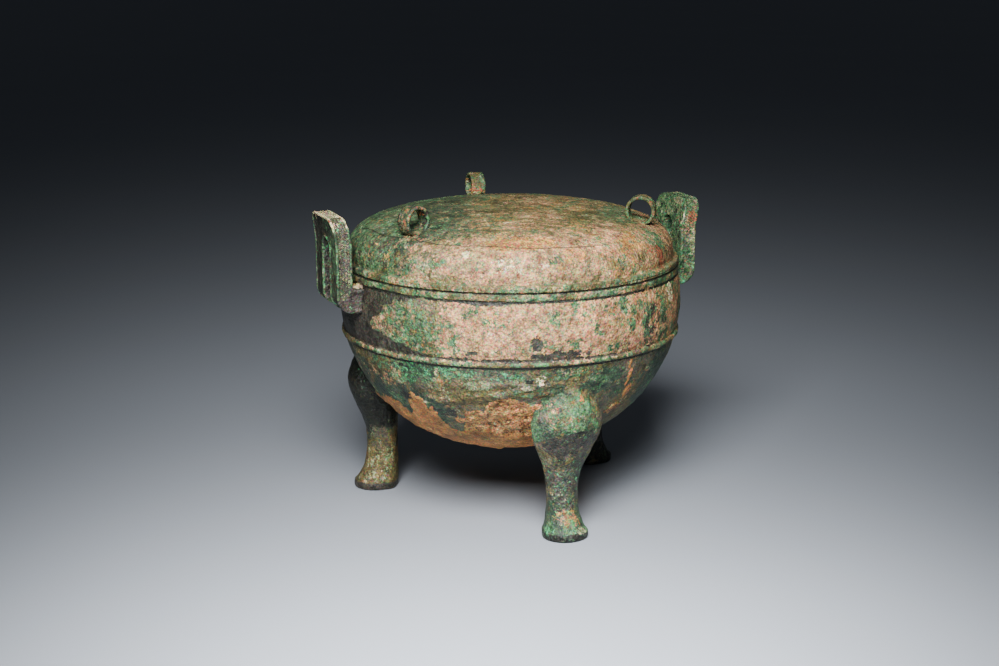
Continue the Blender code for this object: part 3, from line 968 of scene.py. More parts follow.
VESSEL_PATCHES = patches(
    # Upper wall, from left to right as the photograph shows it
    ("slate", -157, 136.5, 13, 4.5),
    ("slate", -163, 133.0, 12, 8.0),
    ("slate", -151, 138.2, 12, 2.4),
    ("slate", -167, 124.0, 10, 14, 1.0),
    ("slate", 178, 124.0, 14, 15, 0.9),
    ("slate", -170, 134.0, 9, 9, 1.0),
    ("cream", -170.5, 137.6, 5.4, 3.8, 1.0, 100.0),
    ("slate", -120, 139.2, 22, 1.5),
    ("crust", -118, 138.9, 4, 1.3, 0.9),
    ("slate", -123.6, 111.2, 3.2, 1.7),
    ("slate", -102.7, 117.1, 3.6, 4.6, 0.95),
    ("slate", -95.0, 109.6, 17, 2.4, 0.95),
    ("olive", -83.5, 112.2, 3.6, 2.6, 0.95),
    ("teal", -83.5, 112.5, 3.5, 2.4, 0.8),
    ("teal", -75.2, 120.7, 7, 4.0, 0.55),
    ("verdigris", -146, 126.0, 18, 16, 0.60),
    ("verdigris", -147, 114.0, 18, 6, 0.72),
    ("verdigris", -132, 119.0, 9, 12, 0.52),
    ("olive", -142, 120.0, 22, 18, 0.75),
    ("teal", -147, 122.0, 16, 14, 0.50),
    ("verdigris", -90, 117.0, 5, 3, 0.42),
    ("verdigris", -69, 126.0, 4, 12, 0.66),
    ("verdigris", -61, 121.0, 7, 20, 0.58),
    ("slate", -58, 118.0, 7.5, 15, 0.52),
    ("slate", -51, 117.0, 4, 12, 0.36),
    ("verdigris", -52, 118.0, 5, 16, 0.60),
    ("cream", -46, 133.0, 3.5, 7, 0.50),
    ("cream", -117.5, 122.3, 1.1, 1.1),
    ("rust", -40, 122.0, 9, 16, 0.30),
    # Bowl below the rib
    ("verdigris", -152, 96.0, 26, 8, 0.50),
    ("verdigris", -125, 98.0, 24, 5, 0.46),
    ("verdigris", -104, 98.0, 14, 4, 0.46),
    ("teal", -140, 98.0, 24, 6, 0.90),
    ("emerald", -144, 98.0, 13, 5.5, 0.33),
    ("emerald", -128, 99.0, 14, 3.2, 0.34),
    ("emerald", -112, 98.0, 12, 3.0, 0.26),
    ("emerald", -150, 92.0, 9, 4.0, 0.30),
    ("black", -149, 99.5, 3.2, 1.1),
    ("ochre", -135, 94.0, 5, 5.0, 0.50),
    ("cream", -136.2, 98.4, 0.8, 3.4, 0.8),
    ("rose", -155.6, 88.0, 4.5, 3.5, 0.60),
    ("teal", -160, 84.0, 15, 10, 0.85),
    ("olive", -172, 92.0, 12, 8, 0.9),
    ("teal", 178, 90.0, 20, 12, 0.8),
    ("black", -153, 79.5, 5, 4, 0.55),
    ("crust", -135.0, 90.4, 12, 5.0, 0.40),
    ("crust", -122, 91.5, 10, 3.2, 0.72),
    ("rose", -128, 95.0, 8, 4, 0.35),
    ("crust", -108, 92.9, 9, 4.0, 0.45),
    ("cream", -101.5, 95.5, 2.6, 3.2, 0.55),
    ("black", -105, 94.6, 2.8, 1.8, 0.9),
    ("olive", -123.8, 82.5, 20, 5.5, 0.95),
    ("olive", -102, 87.0, 14, 3.6, 0.9),
    ("verdigris", -104, 88.0, 12, 3.0, 0.45),
    ("teal", -139.5, 75.0, 9, 8.5, 0.95),
    ("tan", -132.0, 67.0, 4.0, 3.0, 0.45),
    ("black", -137.5, 72.0, 8, 5.0, 0.55),
    ("crust", -144, 77.5, 5, 1.1, 0.8),
    ("crust", -134, 79.0, 4, 1.0, 0.6),
    ("teal", -149.5, 57.0, 6, 2.2, 0.9),
    ("teal", -134, 46.5, 7, 1.6, 0.9),
    ("teal", -112, 46.0, 5, 2.0, 0.9),
    ("teal", -101, 51.0, 2, 4.0, 0.9),
    ("cream", -117.5, 64.0, 7, 3.5, 0.20),
    ("olive", -92.0, 97.1, 15, 4.0, 0.9),
    ("verdigris", -92.0, 97.5, 14, 4.0, 0.45),
    ("ochre", -88.0, 98.5, 8, 2.4, 0.45),
    ("teal", -78, 91.0, 13, 9.5, 0.9),
    ("verdigris", -78, 93.0, 13, 8.0, 0.40),
    ("tan", -67.6, 99.0, 1.1, 4.6, 0.9),
    ("tan", -66.0, 90.0, 1.3, 6.5, 0.9),
    ("tan", -63.5, 80.0, 2.4, 6.0),
    ("copper", -65.9, 69.5, 7, 5.0, 0.9),
    ("teal", -46, 84.0, 20, 20, 0.95),
    ("olive", -36, 86.0, 6, 14, 0.6),
    ("olive", -56, 88.0, 4, 12, 0.85),
    ("crust", -47.4, 96.7, 6, 3.5, 0.35),
    ("olive", -45, 62.0, 22, 8, 0.8),
    # Front leg: knee, slate band, shank and foot
    ("olive", -89, 74.0, 20, 16, 1.00, 97.0),
    ("verdigris", -89, 76.0, 18, 15, 0.62, 97.0),
    ("crust", -90, 82.0, 15, 9, 0.20, 97.0),
    ("crust", -86, 71.0, 12, 8, 0.30, 97.0),
    ("rust", -95, 78.0, 7, 8, 0.10, 97.0),
    ("rose", -97, 76.0, 5, 9, 0.42, 96.0),
    ("tan", -86.6, 82.8, 2.0, 3.0, 1.0, 95.0),
    # Painted shade in the pit in the front knee
    ("black", -87.8, 63.2, 1.9, 2.2, 1.0, 97.6),
    ("verdigris", -104, 68.0, 6, 13, 0.85, 91.0),
    ("teal", -104, 60.0, 6, 8, 0.6, 90.0),
    ("slate", -89.6, 55.0, 20, 8.5, 0.78, 94.0),
    ("teal", -89.6, 33.0, 14, 19, 0.80, 88.0),
    ("slate", -89.6, 33.0, 14, 17, 0.56, 88.0),
    ("emerald", -89.6, 38.0, 14, 20, 0.07, 88.0),
    ("ochre", -89.6, 38.0, 12, 18, 0.08, 88.0),
    ("crust", -92, 26.0, 10, 7, 0.34, 89.0),
    ("olive", -89.6, 12.0, 14, 9, 1.0, 92.0),
    ("ochre", -89.0, 13.0, 9, 7, 0.44, 91.0),
    ("rose", -90.0, 12.0, 8, 5, 0.28, 92.0),
    ("verdigris", -98.0, 7.0, 6, 6, 0.90, 90.0),
    ("emerald", -98.5, 6.0, 5, 5, 0.55, 90.0),
    ("verdigris", -81.0, 6.0, 5, 5, 0.85, 92.0),
    # Painted highlight: pale crust along the top edge of the front foot's pad
    ("crust", -84.0, 5.5, 8, 2.4, 0.6, 94.0),
    # Left leg: dark thigh, khaki shank
    ("black", 150, 61.0, 26, 27, 0.94, 88.0),
    ("teal", 150, 60.0, 28, 28, 1.0, 88.0),
    ("cream", 157, 54.0, 4, 1.2, 0.35, 96.0),
    ("olive", 150, 20.0, 17, 22, 1.0, 82.0),
    ("ochre", 150, 18.0, 16, 16, 0.08, 82.0),
    ("crust", 158, 21.0, 8, 18, 0.42, 84.0),
    ("cream", 154, 13.0, 6, 5, 0.08, 80.0),
    # Right leg, behind: its black is painted shade, for the bowl's shadow on the leg
    ("black", 30, 40.0, 26, 42, 0.8, 86.0),
    ("teal", 30, 30.0, 16, 20, 0.7, 82.0),
    ("crust", 26, 14.0, 12, 10, 0.35, 82.0),
)

TAN_LINE = (
    (-238, 62.0), (-222, 80.0), (-208, 80.0), (-200, 76.0), (-192, 71.5), (-178, 70.0), (-168, 72.5),
    (-160, 73.0), (-157, 66.5), (-154.5, 70.0), (-152.5, 79.0), (-149.5, 82.5), (-146, 80.0), (-144.5, 73.0),
    (-142.5, 75.5), (-140.5, 66.0), (-138.5, 61.0), (-136, 58.5), (-132, 58.0), (-128, 61.0), (-124, 60.0),
    (-104, 57.5), (-94, 60.0), (-72, 52.0), (-40, 46.0), (0, 42.0),
)
COPPER_LINE = (
    (-137, 56.0), (-133, 59.0), (-129.5, 64.5), (-128.5, 73.0), (-125, 76.0), (-121, 75.0), (-118.5, 83.0),
    (-114, 86.5), (-110.5, 85.5), (-108, 81.5), (-100, 80.0), (-95, 79.0), (-92, 74.0),
)
SLATE_LINE = (
    (-200, 120.0), (-180, 123.0), (-166, 120.0), (-153, 114.5), (-147, 111.6), (-141.5, 109.6), (-136, 108.2),
    (-112, 107.9), (-100, 108.6), (-88, 107.8), (-70, 107.2), (-40, 106.6),
)
SHORES = (
    Shore("tan", 1.0, 30.0, TAN_LINE, 5.0),
    Shore("copper", 0.93, 56.0, COPPER_LINE, 3.4),
    Shore("slate", 0.97, 106.4, SLATE_LINE, 1.2),
)

VESSEL_GROWTHS = (
    Growth("rose", "wall", 0.62, {"seen": 0.30, "broad": 0.35, "small": 0.20}, 0.12, 0.97),
    Growth("rose", "lower", -0.05, {"other": 0.35, "small": 0.15}, 0.0, 0.5),
    Growth("verdigris", "wall", 0.40, {"other": 0.30, "seen": -0.16, "small": 0.18}, 0.06, 0.85),
    Growth("verdigris", "lower", 0.10, {"broad": 0.35, "small": 0.25}, 0.02, 0.7),
    Growth("olive", "lower", 0.45, {"other": 0.5}, 0.1, 0.9),
    Growth("olive", "upper", 0.35),
    Growth("teal", "lower", 0.50, {"broad": 0.6}, 0.1, 0.95),
    Growth("crust", "calf", -0.04, {"small": 0.32, "other": 0.2}, 0.0, 0.45),
    Growth("ochre", "wall", 0.10, {"other": 0.25}, 0.02, 0.4),
    Growth("ochre", "lower", 0.03),
    Growth("cream", "wall", 0.02, {"small_peaks": 0.04}),
    Growth("cream", "lower", 0.006, {"small_peaks": 0.012}),
    Growth("rust", "wall", 0.03, {"broad_peaks": 0.08}),
    Growth("emerald", "all", 0.01),
    Growth("emerald", "lower", 0.0, {"small_peaks": 0.07}),
)
# Levels on the rib and the rim band, what is left on the left leg and the front shank, and the unseen side
RIM_LEVELS = {"crust": 0.05, "verdigris": 0.48, "rose": 0.38, "olive": 0.9, "teal": 0.3}
KHAKI_KEPT = {"verdigris": 0.20, "rose": 0.0, "teal": 0.15, "emerald": 0.0, "crust": 0.6}
SHANK_KEPT = {"rose": 0.1, "crust": 0.4, "verdigris": 0.7, "ochre": 0.5}
VESSEL_UNSEEN = {"olive": 0.6, "teal": 0.35, "verdigris": 0.30, "crust": 0.10, "slate": 0.15}


@dataclass(frozen=True)
class Vessel:
    """The bowl on its three legs, as one cast body."""

    bowl: Bowl
    legs: Leg
    patina: Patina
    # The eased corner between bowl and legs: its reach, its strength and rounds, and the merging before it
    blend: float = 5.5 * MM
    ease: float = 0.65
    rounds: int = 14
    merge: float = 0.12 * MM
    # Pit in the front knee: azimuth, height, radius, and depth in mm
    pit: tuple[float, float, float, float] = (-87.8, 0.0632, 0.0022, 1.1)
    pit_r: float = 0.0976
    # Folds of the crust that rise to the front knee: azimuth and height of their ends, and their height.
    folds: tuple[tuple[float, float, float, float, float], ...] = (
        (-142, 79.0, -112, 86.0, 1.1),
        (-131, 84.5, -98, 91.5, 1.6),
        (-126, 90.0, -106, 94.5, 1.0),
        (-116, 86.5, -97, 86.5, 1.2),
        (-84, 93.0, -66, 85.5, 0.8),
    )

    def joined(self, material: Material) -> Mesh:
        """The bowl and the legs in one mesh, with the corner between them eased."""
        marker = bpy.data.materials.new("leg_marker")
        legs = combined(self.legs.mesh(self.bowl, marker), self.bowl.core(marker), "DIFFERENCE")
        mesh = combined(self.bowl.mesh(material), legs, "UNION")
        bm = bmesh.new()
        bm.from_mesh(mesh)
        bmesh.ops.remove_doubles(bm, verts=bm.verts[:], dist=self.merge)
        bmesh.ops.triangulate(bm, faces=[face for face in bm.faces if len(face.verts) > 4])
        names = [slot.name if slot else "" for slot in mesh.materials]
        leg_slot = names.index(marker.name)
        on_seam = [len({face.material_index == leg_slot for face in v.link_faces}) == 2 for v in bm.verts]
        seam = np.array([list(v.co) for v in itertools.compress(bm.verts, on_seam)])
        for face in bm.faces:
            face.material_index = 0
        bm.to_mesh(mesh)
        bm.free()
        mesh.materials.clear()
        mesh.materials.append(material)
        bpy.data.materials.remove(marker)
        points = get_points(mesh)
        weight = self.ease * step_up(nearest(points, seam), self.blend, self.blend * 0.25)
        set_points(mesh, relaxed(points, edge_ends(mesh), weight, self.rounds))
        return mesh

    def on_outside(self, points: Array, normals: Array) -> Array:
        """1 on the outside of the vessel and 0 within it."""
        reach = np.hypot(points[:, 0], points[:, 1])
        outer = np.array([self.bowl.outer_radius(z) for z in points[:, 2]])
        away = np.sum(normals[:, :2] * points[:, :2], axis=1) / np.maximum(reach, 1e-6)
        facing_in = (away < -0.25) & (points[:, 2] > self.bowl.rib_z - self.bowl.depth * 0.6)
        within = reach < outer - self.bowl.wall * 0.55
        floor = (normals[:, 2] > 0.3) & within
        return 1.0 - ((facing_in & within) | floor).astype(float)

    def fields(self, points: Array, outside: Array) -> Fields:
        """Share of each layer at each point."""
        z = points[:, 2]
        bowl = self.bowl
        band_z = bowl.mouth_z - bowl.band_h
        noise = noise_fields(points, broad=(34, 3), other=(22, 11), small=(7, 23))
        azimuth = azimuths(points)
        noise["seen"] = step_up(np.cos(np.radians(azimuth + 100)), -0.35, 0.55)
        upper = step_up(z, bowl.rib_z, bowl.rib_z + 0.001)
        lower = 1 - upper
        band = step_up(z, band_z - 0.0002, band_z + 0.0004)
        reach = np.hypot(points[:, 0], points[:, 1])
        rib = step_up(np.abs(z - bowl.rib_z), 0.0017, 0.0011) * (reach > bowl.belly_r - 0.0005)
        wall = upper * (1 - band)
        calf = lower * (1 - 0.5 * step_up(z, 0.036, 0.030))
        zones = {"wall": wall, "upper": upper, "lower": lower, "calf": calf}
        share = grown(VESSEL_GROWTHS, zones, noise)
        share["rose"] *= 1 - 0.50 * step_up(np.abs(azimuth + 147), 18, 7) * wall
        edge_over(share, np.maximum(band, rib), RIM_LEVELS, 0.35 * noise["small"])
        # The shank that stands to the left is khaki, and the foot pads are dark.
        khaki = step_up(np.abs(azimuth - 150), 22, 18) * lower * (z < 0.070)
        thin_out(share, khaki, KHAKI_KEPT)
        shank = step_up(np.abs(azimuth + 89.6), 16, 12) * step_up(z, 0.062, 0.056) * lower
        thin_out(share, shank, SHANK_KEPT)
        pad = step_up(z, 0.0048, 0.0040) * step_up(z, -0.001, 0.0)
        share["slate"] = np.maximum(share["slate"], pad * np.where(khaki > 0.5, 0.97, 0.30))
        black = pad * np.where(khaki > 0.5, 0.25, 0.55 + 0.3 * noise["small"])
        # Painted shadow: dark lines below the rib, below the rim band, and on the rim's edge in the gap under
        # the lid.
        outer = reach > bowl.belly_r - 0.0015
        for line, half in ((bowl.rib_z - 0.0022, 0.0007), (band_z - 0.0006, 0.0006)):
            black = np.maximum(black, 0.9 * outer * step_up(np.abs(z - line), half * 1.6, half * 0.6))
        black = np.maximum(black, 0.95 * outer * step_up(z, bowl.mouth_z - 0.0008, bowl.mouth_z - 0.0002))
        share["black"] = np.maximum(share["black"], black)
        self.patina.place(share, points, bowl)
        return lined(share, outside, VESSEL_UNSEEN, noise["broad"])

    def relief(self, points: Array, share: Fields, outside: Array) -> Array:
        """How far each point moves along its normal."""
        bowl = self.bowl
        z = points[:, 2]
        lower = step_up(z, bowl.rib_z - 0.001, bowl.rib_z - 0.005)
        tan, copper, crust = share["tan"], share["copper"], share["crust"]
        # Cast skin, then grit that is rougher on the crusts, then the crusts' lumps and their own thickness
        height = 0.22 * fractal(points, 26, 5) + 0.10 * fractal(points, 8, 6)
        rough = 0.05 + 0.12 * lower + 0.20 * copper + 0.16 * (crust + tan) + 0.06 * share["verdigris"]
        height += rough * fractal(points, 3.2, 8)
        height += 0.30 * tan * fractal(points, 7, 10) + 1.05 * copper * fractal(points, 6, 9, 4)
        height += 0.45 * step_up(tan, 0.2, 0.7) + 0.22 * crust + 0.15 * copper
        height -= 0.16 * step_up(share["slate"], 0.3, 0.8)
        height += self.folded(points) - self.pitted(points)
        calm = np.where(outside > 0.5, 1.0, 0.35)
        calm *= 1 - 0.75 * step_up(z, bowl.mouth_z - 0.0025, bowl.mouth_z - 0.0005)
        calm *= step_up(z, 0.0002, 0.0016)
        return height * calm * MM

    def pitted(self, points: Array) -> Array:
        """Depth of the pit in the front knee at each point, in millimetres."""
        azimuth, level, wide, deep = self.pit
        turn = math.radians(azimuth)
        spot = np.array((self.pit_r * math.cos(turn), self.pit_r * math.sin(turn), level))
        return deep * step_up(np.linalg.norm(points - spot, axis=1), wide, wide * 0.35)

    def folded(self, points: Array) -> Array:
        """Height of the crust's folds at each point, in millimetres."""
        azimuth = azimuths(points)
        waver = 0.9 * MM * lattice(points, 9, 31)
        height = np.zeros(len(points))
        for start, low, end, high, amount in self.folds:
            along = np.clip((azimuth - start) / (end - start), -0.15, 1.15)
            line = (low + (high - low) * np.clip(along, 0, 1)) * MM + waver
            fade = step_up(np.abs(along - 0.5), 0.62, 0.35)
            height += amount * fade * np.exp(-(((points[:, 2] - line) / (1.5 * MM)) ** 2))
        return height

    def build(self, material: Material) -> Object:
        """The finished body."""
        mesh = self.joined(material)
        points = get_points(mesh)
        outside = self.on_outside(points, get_normals(mesh))
        share = self.fields(points, outside)
        set_points(mesh, points + get_normals(mesh) * self.relief(points, share, outside)[:, None])
        return finished("vessel_body", mesh, share)


def nearest(points: Array, marks: Array, cap: float = 20 * MM) -> Array:
    """Distance of each point to the nearest mark, at most the cap."""
    tree = KDTree(len(marks))
    for index, place in enumerate(marks):
        tree.insert(place, index)
    tree.balance()
    found = np.full(len(points), cap)
    low, high = marks.min(axis=0) - cap, marks.max(axis=0) + cap
    for index in np.nonzero(np.all((points > low) & (points < high), axis=1))[0]:
        found[index] = tree.find(points[index])[2]
    return np.minimum(found, cap)


@dataclass(frozen=True)
class Ear:
    """An upright ear: an arched strap, bent in to the wall at both ends, with sunken bands."""

    side: Side
    inset: float = 0.0
    sag: float = 0.0
    lift: float = 0.0
    lean_more: float = 0.0
    belly_r: float = 0.0982
    mouth_z: float = 0.1444
    reach: float = 0.0148
    height: float = 0.0341
    flare: float = 0.0030
    root_drop: float = 0.0199
    width: float = 0.0416
    thick: float = 0.0094
    corner_r: float = 0.0092
    flare_h: float = 0.0190
    flare_power: float = 1.6
    root_h: float = 0.0135
    bend_r: float = 0.0092
    inner_bend_r: float = 0.0020
    # How far the root goes into the wall
    bite: float = 1.6 * MM
    slot_w: float = 0.0134
    slot_rise: float = 0.0206
    edge: float = 0.0007
    border: float = 0.0013
    sink: float = 0.0006
    bevel: float = 0.25 * MM
    step: float = 0.7 * MM

    @property
    def top(self) -> float:
        """Height of the ear's top."""
        return self.mouth_z + self.height - self.sag

    @property
    def bottom(self) -> float:
        """Height of the underside of its root."""
        return self.mouth_z - self.root_drop + self.lift

    @property
    def spring(self) -> float:
        """Height of the middle of the slot's crown."""
        return self.mouth_z + self.slot_rise - self.slot_w / 2

    @property
    def bend_z(self) -> float:
        """Height at which the strap starts to bend in."""
        return self.bottom + self.root_h + self.inner_bend_r

    @property
    def unrolled(self) -> float:
        """Length of the bend and the stub behind it, along their middle."""
        return self.root_h + self.reach - self.inset

    def turned(self, points: Array) -> Array:
        """Places turned from +X to the ear's side of the vessel."""
        return points @ np.array(Matrix.Rotation(math.radians(self.side.value), 3, "Z")).T

    def profile(self, level: Array) -> list[Array]:
        """Outer and inner faces of the strap, seen from the side.

        Args:
            level: heights above the bend, and below it lengths back to the wall.

        Returns:
            Distance from the axis and height at each level, on the outer face and on the inner.
        """
        outer = self.belly_r + self.reach - self.inset
        start = self.belly_r - self.bite
        inner, bend_r, inner_r = outer - self.thick, self.bend_r, self.inner_bend_r
        out = [(outer, self.bend_z)]
        out += arc((outer - bend_r, self.bottom + bend_r), bend_r, 0, -90, 12) + [(start, self.bottom)]
        within = arc((inner - inner_r, self.bend_z), inner_r, 0, -90, 6) + [(start, self.bend_z - inner_r)]
        lean = np.clip((level - self.top + self.flare_h) / self.flare_h, 0, None) ** self.flare_power
        sides = []
        for line, face in ((out, outer), (within, inner)):
            upright = np.stack([face + (self.flare + self.lean_more) * lean, level], axis=1)
            bent = np.array(line)
            along = np.concatenate(([0.0], np.cumsum(np.linalg.norm(np.diff(bent, axis=0), axis=1))))
            back = np.clip((self.bend_z - level) / self.unrolled, 0, 1) * along[-1]
            behind = np.stack([np.interp(back, along, bent[:, axis]) for axis in (0, 1)], axis=1)
            sides.append(np.where((level >= self.bend_z)[:, None], upright, behind))
        return sides

    def edges(self) -> list[Array]:
        """Matching points on the slot's edge and the outer edge, as (across, level), from root to root."""
        low = self.bend_z - self.unrolled
        straight = np.linspace(low, self.spring, math.ceil((self.spring - low) / self.step))
        turns = np.linspace(0, math.pi, 64)
        aim = np.stack([np.cos(turns), np.sin(turns)], axis=1)
        half = np.array((self.width / 2, self.top - self.spring))
        # The rounded outer corner is found by halving steps along each aim.
        near, far = np.zeros(len(aim)), np.full(len(aim), 0.05)
        for _ in range(30):
            middle = (near + far) / 2
            spot = np.abs(aim * middle[:, None]) - (half - self.corner_r)
            beyond = np.linalg.norm(np.maximum(spot, 0), axis=1) + np.minimum(spot.max(axis=1), 0)
            within = beyond < self.corner_r
            near, far = np.where(within, middle, near), np.where(within, far, middle)
        centre, mirror = np.array((0.0, self.spring)), np.array((-1.0, 1.0))
        lines = []
        for crown, wide in ((aim * self.slot_w / 2, self.slot_w), (aim * near[:, None], self.width)):
            up = np.stack([np.full(len(straight), wide / 2), straight], axis=1)
            lines.append(np.concatenate([up[:-1], crown + centre, (up * mirror)[-2::-1]]))
        return lines

    def section(self) -> list[tuple[float, float, float, float, Band]]:
        """Points round the strap's section.

        Returns:
            For each point, its distance from the slot as a length and a share of the width, its depth from
            the outer face as a length and a share of the thickness, and what it belongs to.
        """
        round_, edge, sink, inset = self.edge, self.border, self.sink, self.border + self.bevel
        border, rim_band, face_band, plain = Band.BORDER, Band.RIM_BAND, Band.FACE_BAND, Band.PLAIN
        corner = [(round_ * (1 - math.cos(turn)), round_ * (1 - math.sin(turn))) for turn in (0.3, 0.8, 1.3)]
        # Outer face, from the slot to the rim
        points = [(a, 0, b, 0, border) for a, b in corner]
        points += [(edge, 0, 0, 0, border), (inset, 0, sink, 0, face_band)]
        points += [(0, share, sink, 0, face_band) for share in np.linspace(0.18, 0.82, 7)]
        points += [(-inset, 1, sink, 0, face_band), (-edge, 1, 0, 0, border)]
        points += [(-a, 1, b, 0, border) for a, b in corner[::-1]]
        # Rim face, from the outer face to the inner
        points += [(0, 1, edge, 0, border), (-sink, 1, inset, 0, rim_band)]
        points += [(-sink, 1, 0, share, rim_band) for share in np.linspace(0.26, 0.74, 6)]
        points += [(-sink, 1, -inset, 1, rim_band), (0, 1, -edge, 1, border)]
        points += [(-a, 1, -b, 1, border) for b, a in corner[::-1]]
        # Inner face and the slot's side
        points += [(0, share, 0, 1, plain) for share in np.linspace(0.88, 0.12, 10)]
        points += [(a, 0, -b, 1, plain) for a, b in corner[::-1]]
        return points + [(0, 0, 0, share, plain) for share in np.linspace(0.85, 0.15, 7)]

    def spots(self, across: Array, depth: Array) -> Array:
        """Places on the strap.

        Args:
            across: (length, share of the width) from the slot's edge, one row for each wanted point.
            depth: (length, share of the thickness) from the outer face.

        Returns:
            An array of stations, points and coordinates.
        """
        slot, rim = self.edges()
        wide = np.linalg.norm(rim - slot, axis=1)
        way = (rim - slot) / wide[:, None]
        reach = across[:, 0][None, :] + across[:, 1][None, :] * wide[:, None]
        flat = slot[:, None, :] + way[:, None, :] * reach[:, :, None]
        into = (depth[:, 0] + depth[:, 1] * self.thick)[None, :] / self.thick
        shape = flat.shape[:2]
        outer, inner = (face.reshape(*shape, 2) for face in self.profile(flat[:, :, 1].ravel()))
        side = outer + (inner - outer) * np.broadcast_to(into, shape)[:, :, None]
        return self.turned(np.stack([side[:, :, 0], flat[:, :, 0], side[:, :, 1]], axis=2))

    def solid(self) -> tuple[Array, list[tuple[int, ...]], Array]:
        """Points and faces of the strap, and the band of each point."""
        section = self.section()
        numbers = np.array([row[:4] for row in section], dtype=float)
        places = self.spots(numbers[:, 0:2], numbers[:, 2:4])
        count, around = places.shape[:2]
        bands = np.tile([row[4].value for row in section], count)
        return places.reshape(-1, 3), tube_faces(count, around), bands

    def path(self) -> tuple[Array, Array, Array]:
        """Middle of the rim band above the bend, with its outward and across vectors."""
        across = np.array(((-self.sink, 1.0), (-0.004, 1.0), (-self.sink, 1.0)))
        depth = np.array(((0.0, 0.5), (0.0, 0.5), (0.0, 0.9)))
        spots = self.spots(across, depth)
        middle, within, beside = spots[spots[:, 0, 2] > self.bottom + self.root_h - 0.004].transpose(1, 0, 2)
        out, over = (way / np.linalg.norm(way, axis=1)[:, None] for way in (middle - within, beside - middle))
        return middle, out, over


EAR_PATCHES = patches(
    # Left ear
    ("cream", 168, 176.5, 14, 4.5, 0.80, 113.0),
    ("cream", -165, 177.0, 10, 4.0, 0.85, 113.0),
    ("rust", -170, 178.0, 3, 2.0, 0.8, 117.0),
    ("slate", -170, 132.0, 8, 9, 1.0, 106.0),
    ("cream", -172.0, 138.0, 5.5, 3.6, 1.0, 101.0),
    # Right ear
    ("rose", -9, 172.0, 5, 6, 0.45, 110.0),
    ("rust", -11, 167.0, 2.4, 5, 0.80, 109.0),
    ("cream", -12, 166.0, 0.9, 4, 0.8, 105.5),
    ("cream", -12, 157.0, 2.0, 3, 0.3, 112.0),
    ("rose", -12, 158.0, 5, 9, 0.45, 113.0),
    # Painted shade on the inner face, between the ear and the lid
    ("slate", -10, 163.0, 4, 9, 0.4, 101.0),
    ("crust", -6, 171.0, 9, 6, 0.55, 105.0),
    ("crust", -12, 152.0, 5, 6, 0.6, 114.0),
    ("olive", -12, 134.0, 8, 8, 0.7, 104.0),
)


EAR_GROWTHS = (
    Growth("teal", "all", 0.5, {"broad": 0.4}),
    Growth("rose", "left", 0.08, {"small": 0.08}, -1.0),
    Growth("rose", "right", 0.26, {"small": 0.26}, -1.0),
    Growth("cream", "all", 0.01),
    Growth("cream", "raised", 0.0, {"small_peaks": 0.03}),
    Growth("rust", "all", 0.01, {"broad_peaks": 0.04}),
)
# What is left at the root of the left ear
EAR_ROOT_KEPT = dict.fromkeys(("verdigris", "crust", "emerald", "rose", "rust", "cream"), 0.15)
CURL_GROWTHS = (
    Growth("crust", "left", 0.66, {"small": 0.3, "high": 0.4}),
    Growth("crust", "right", 0.12),
    Growth("verdigris", "left", 0.40),
    Growth("verdigris", "right", 0.85),
    Growth("rose", "right", 0.25),
    Growth("cream", "all", 0.08),
    Growth("cream", "left", 0.0, {"high": 0.4}),
    Growth("slate", "left", 0.22, {"small": -0.4, "high": -0.4}),
)


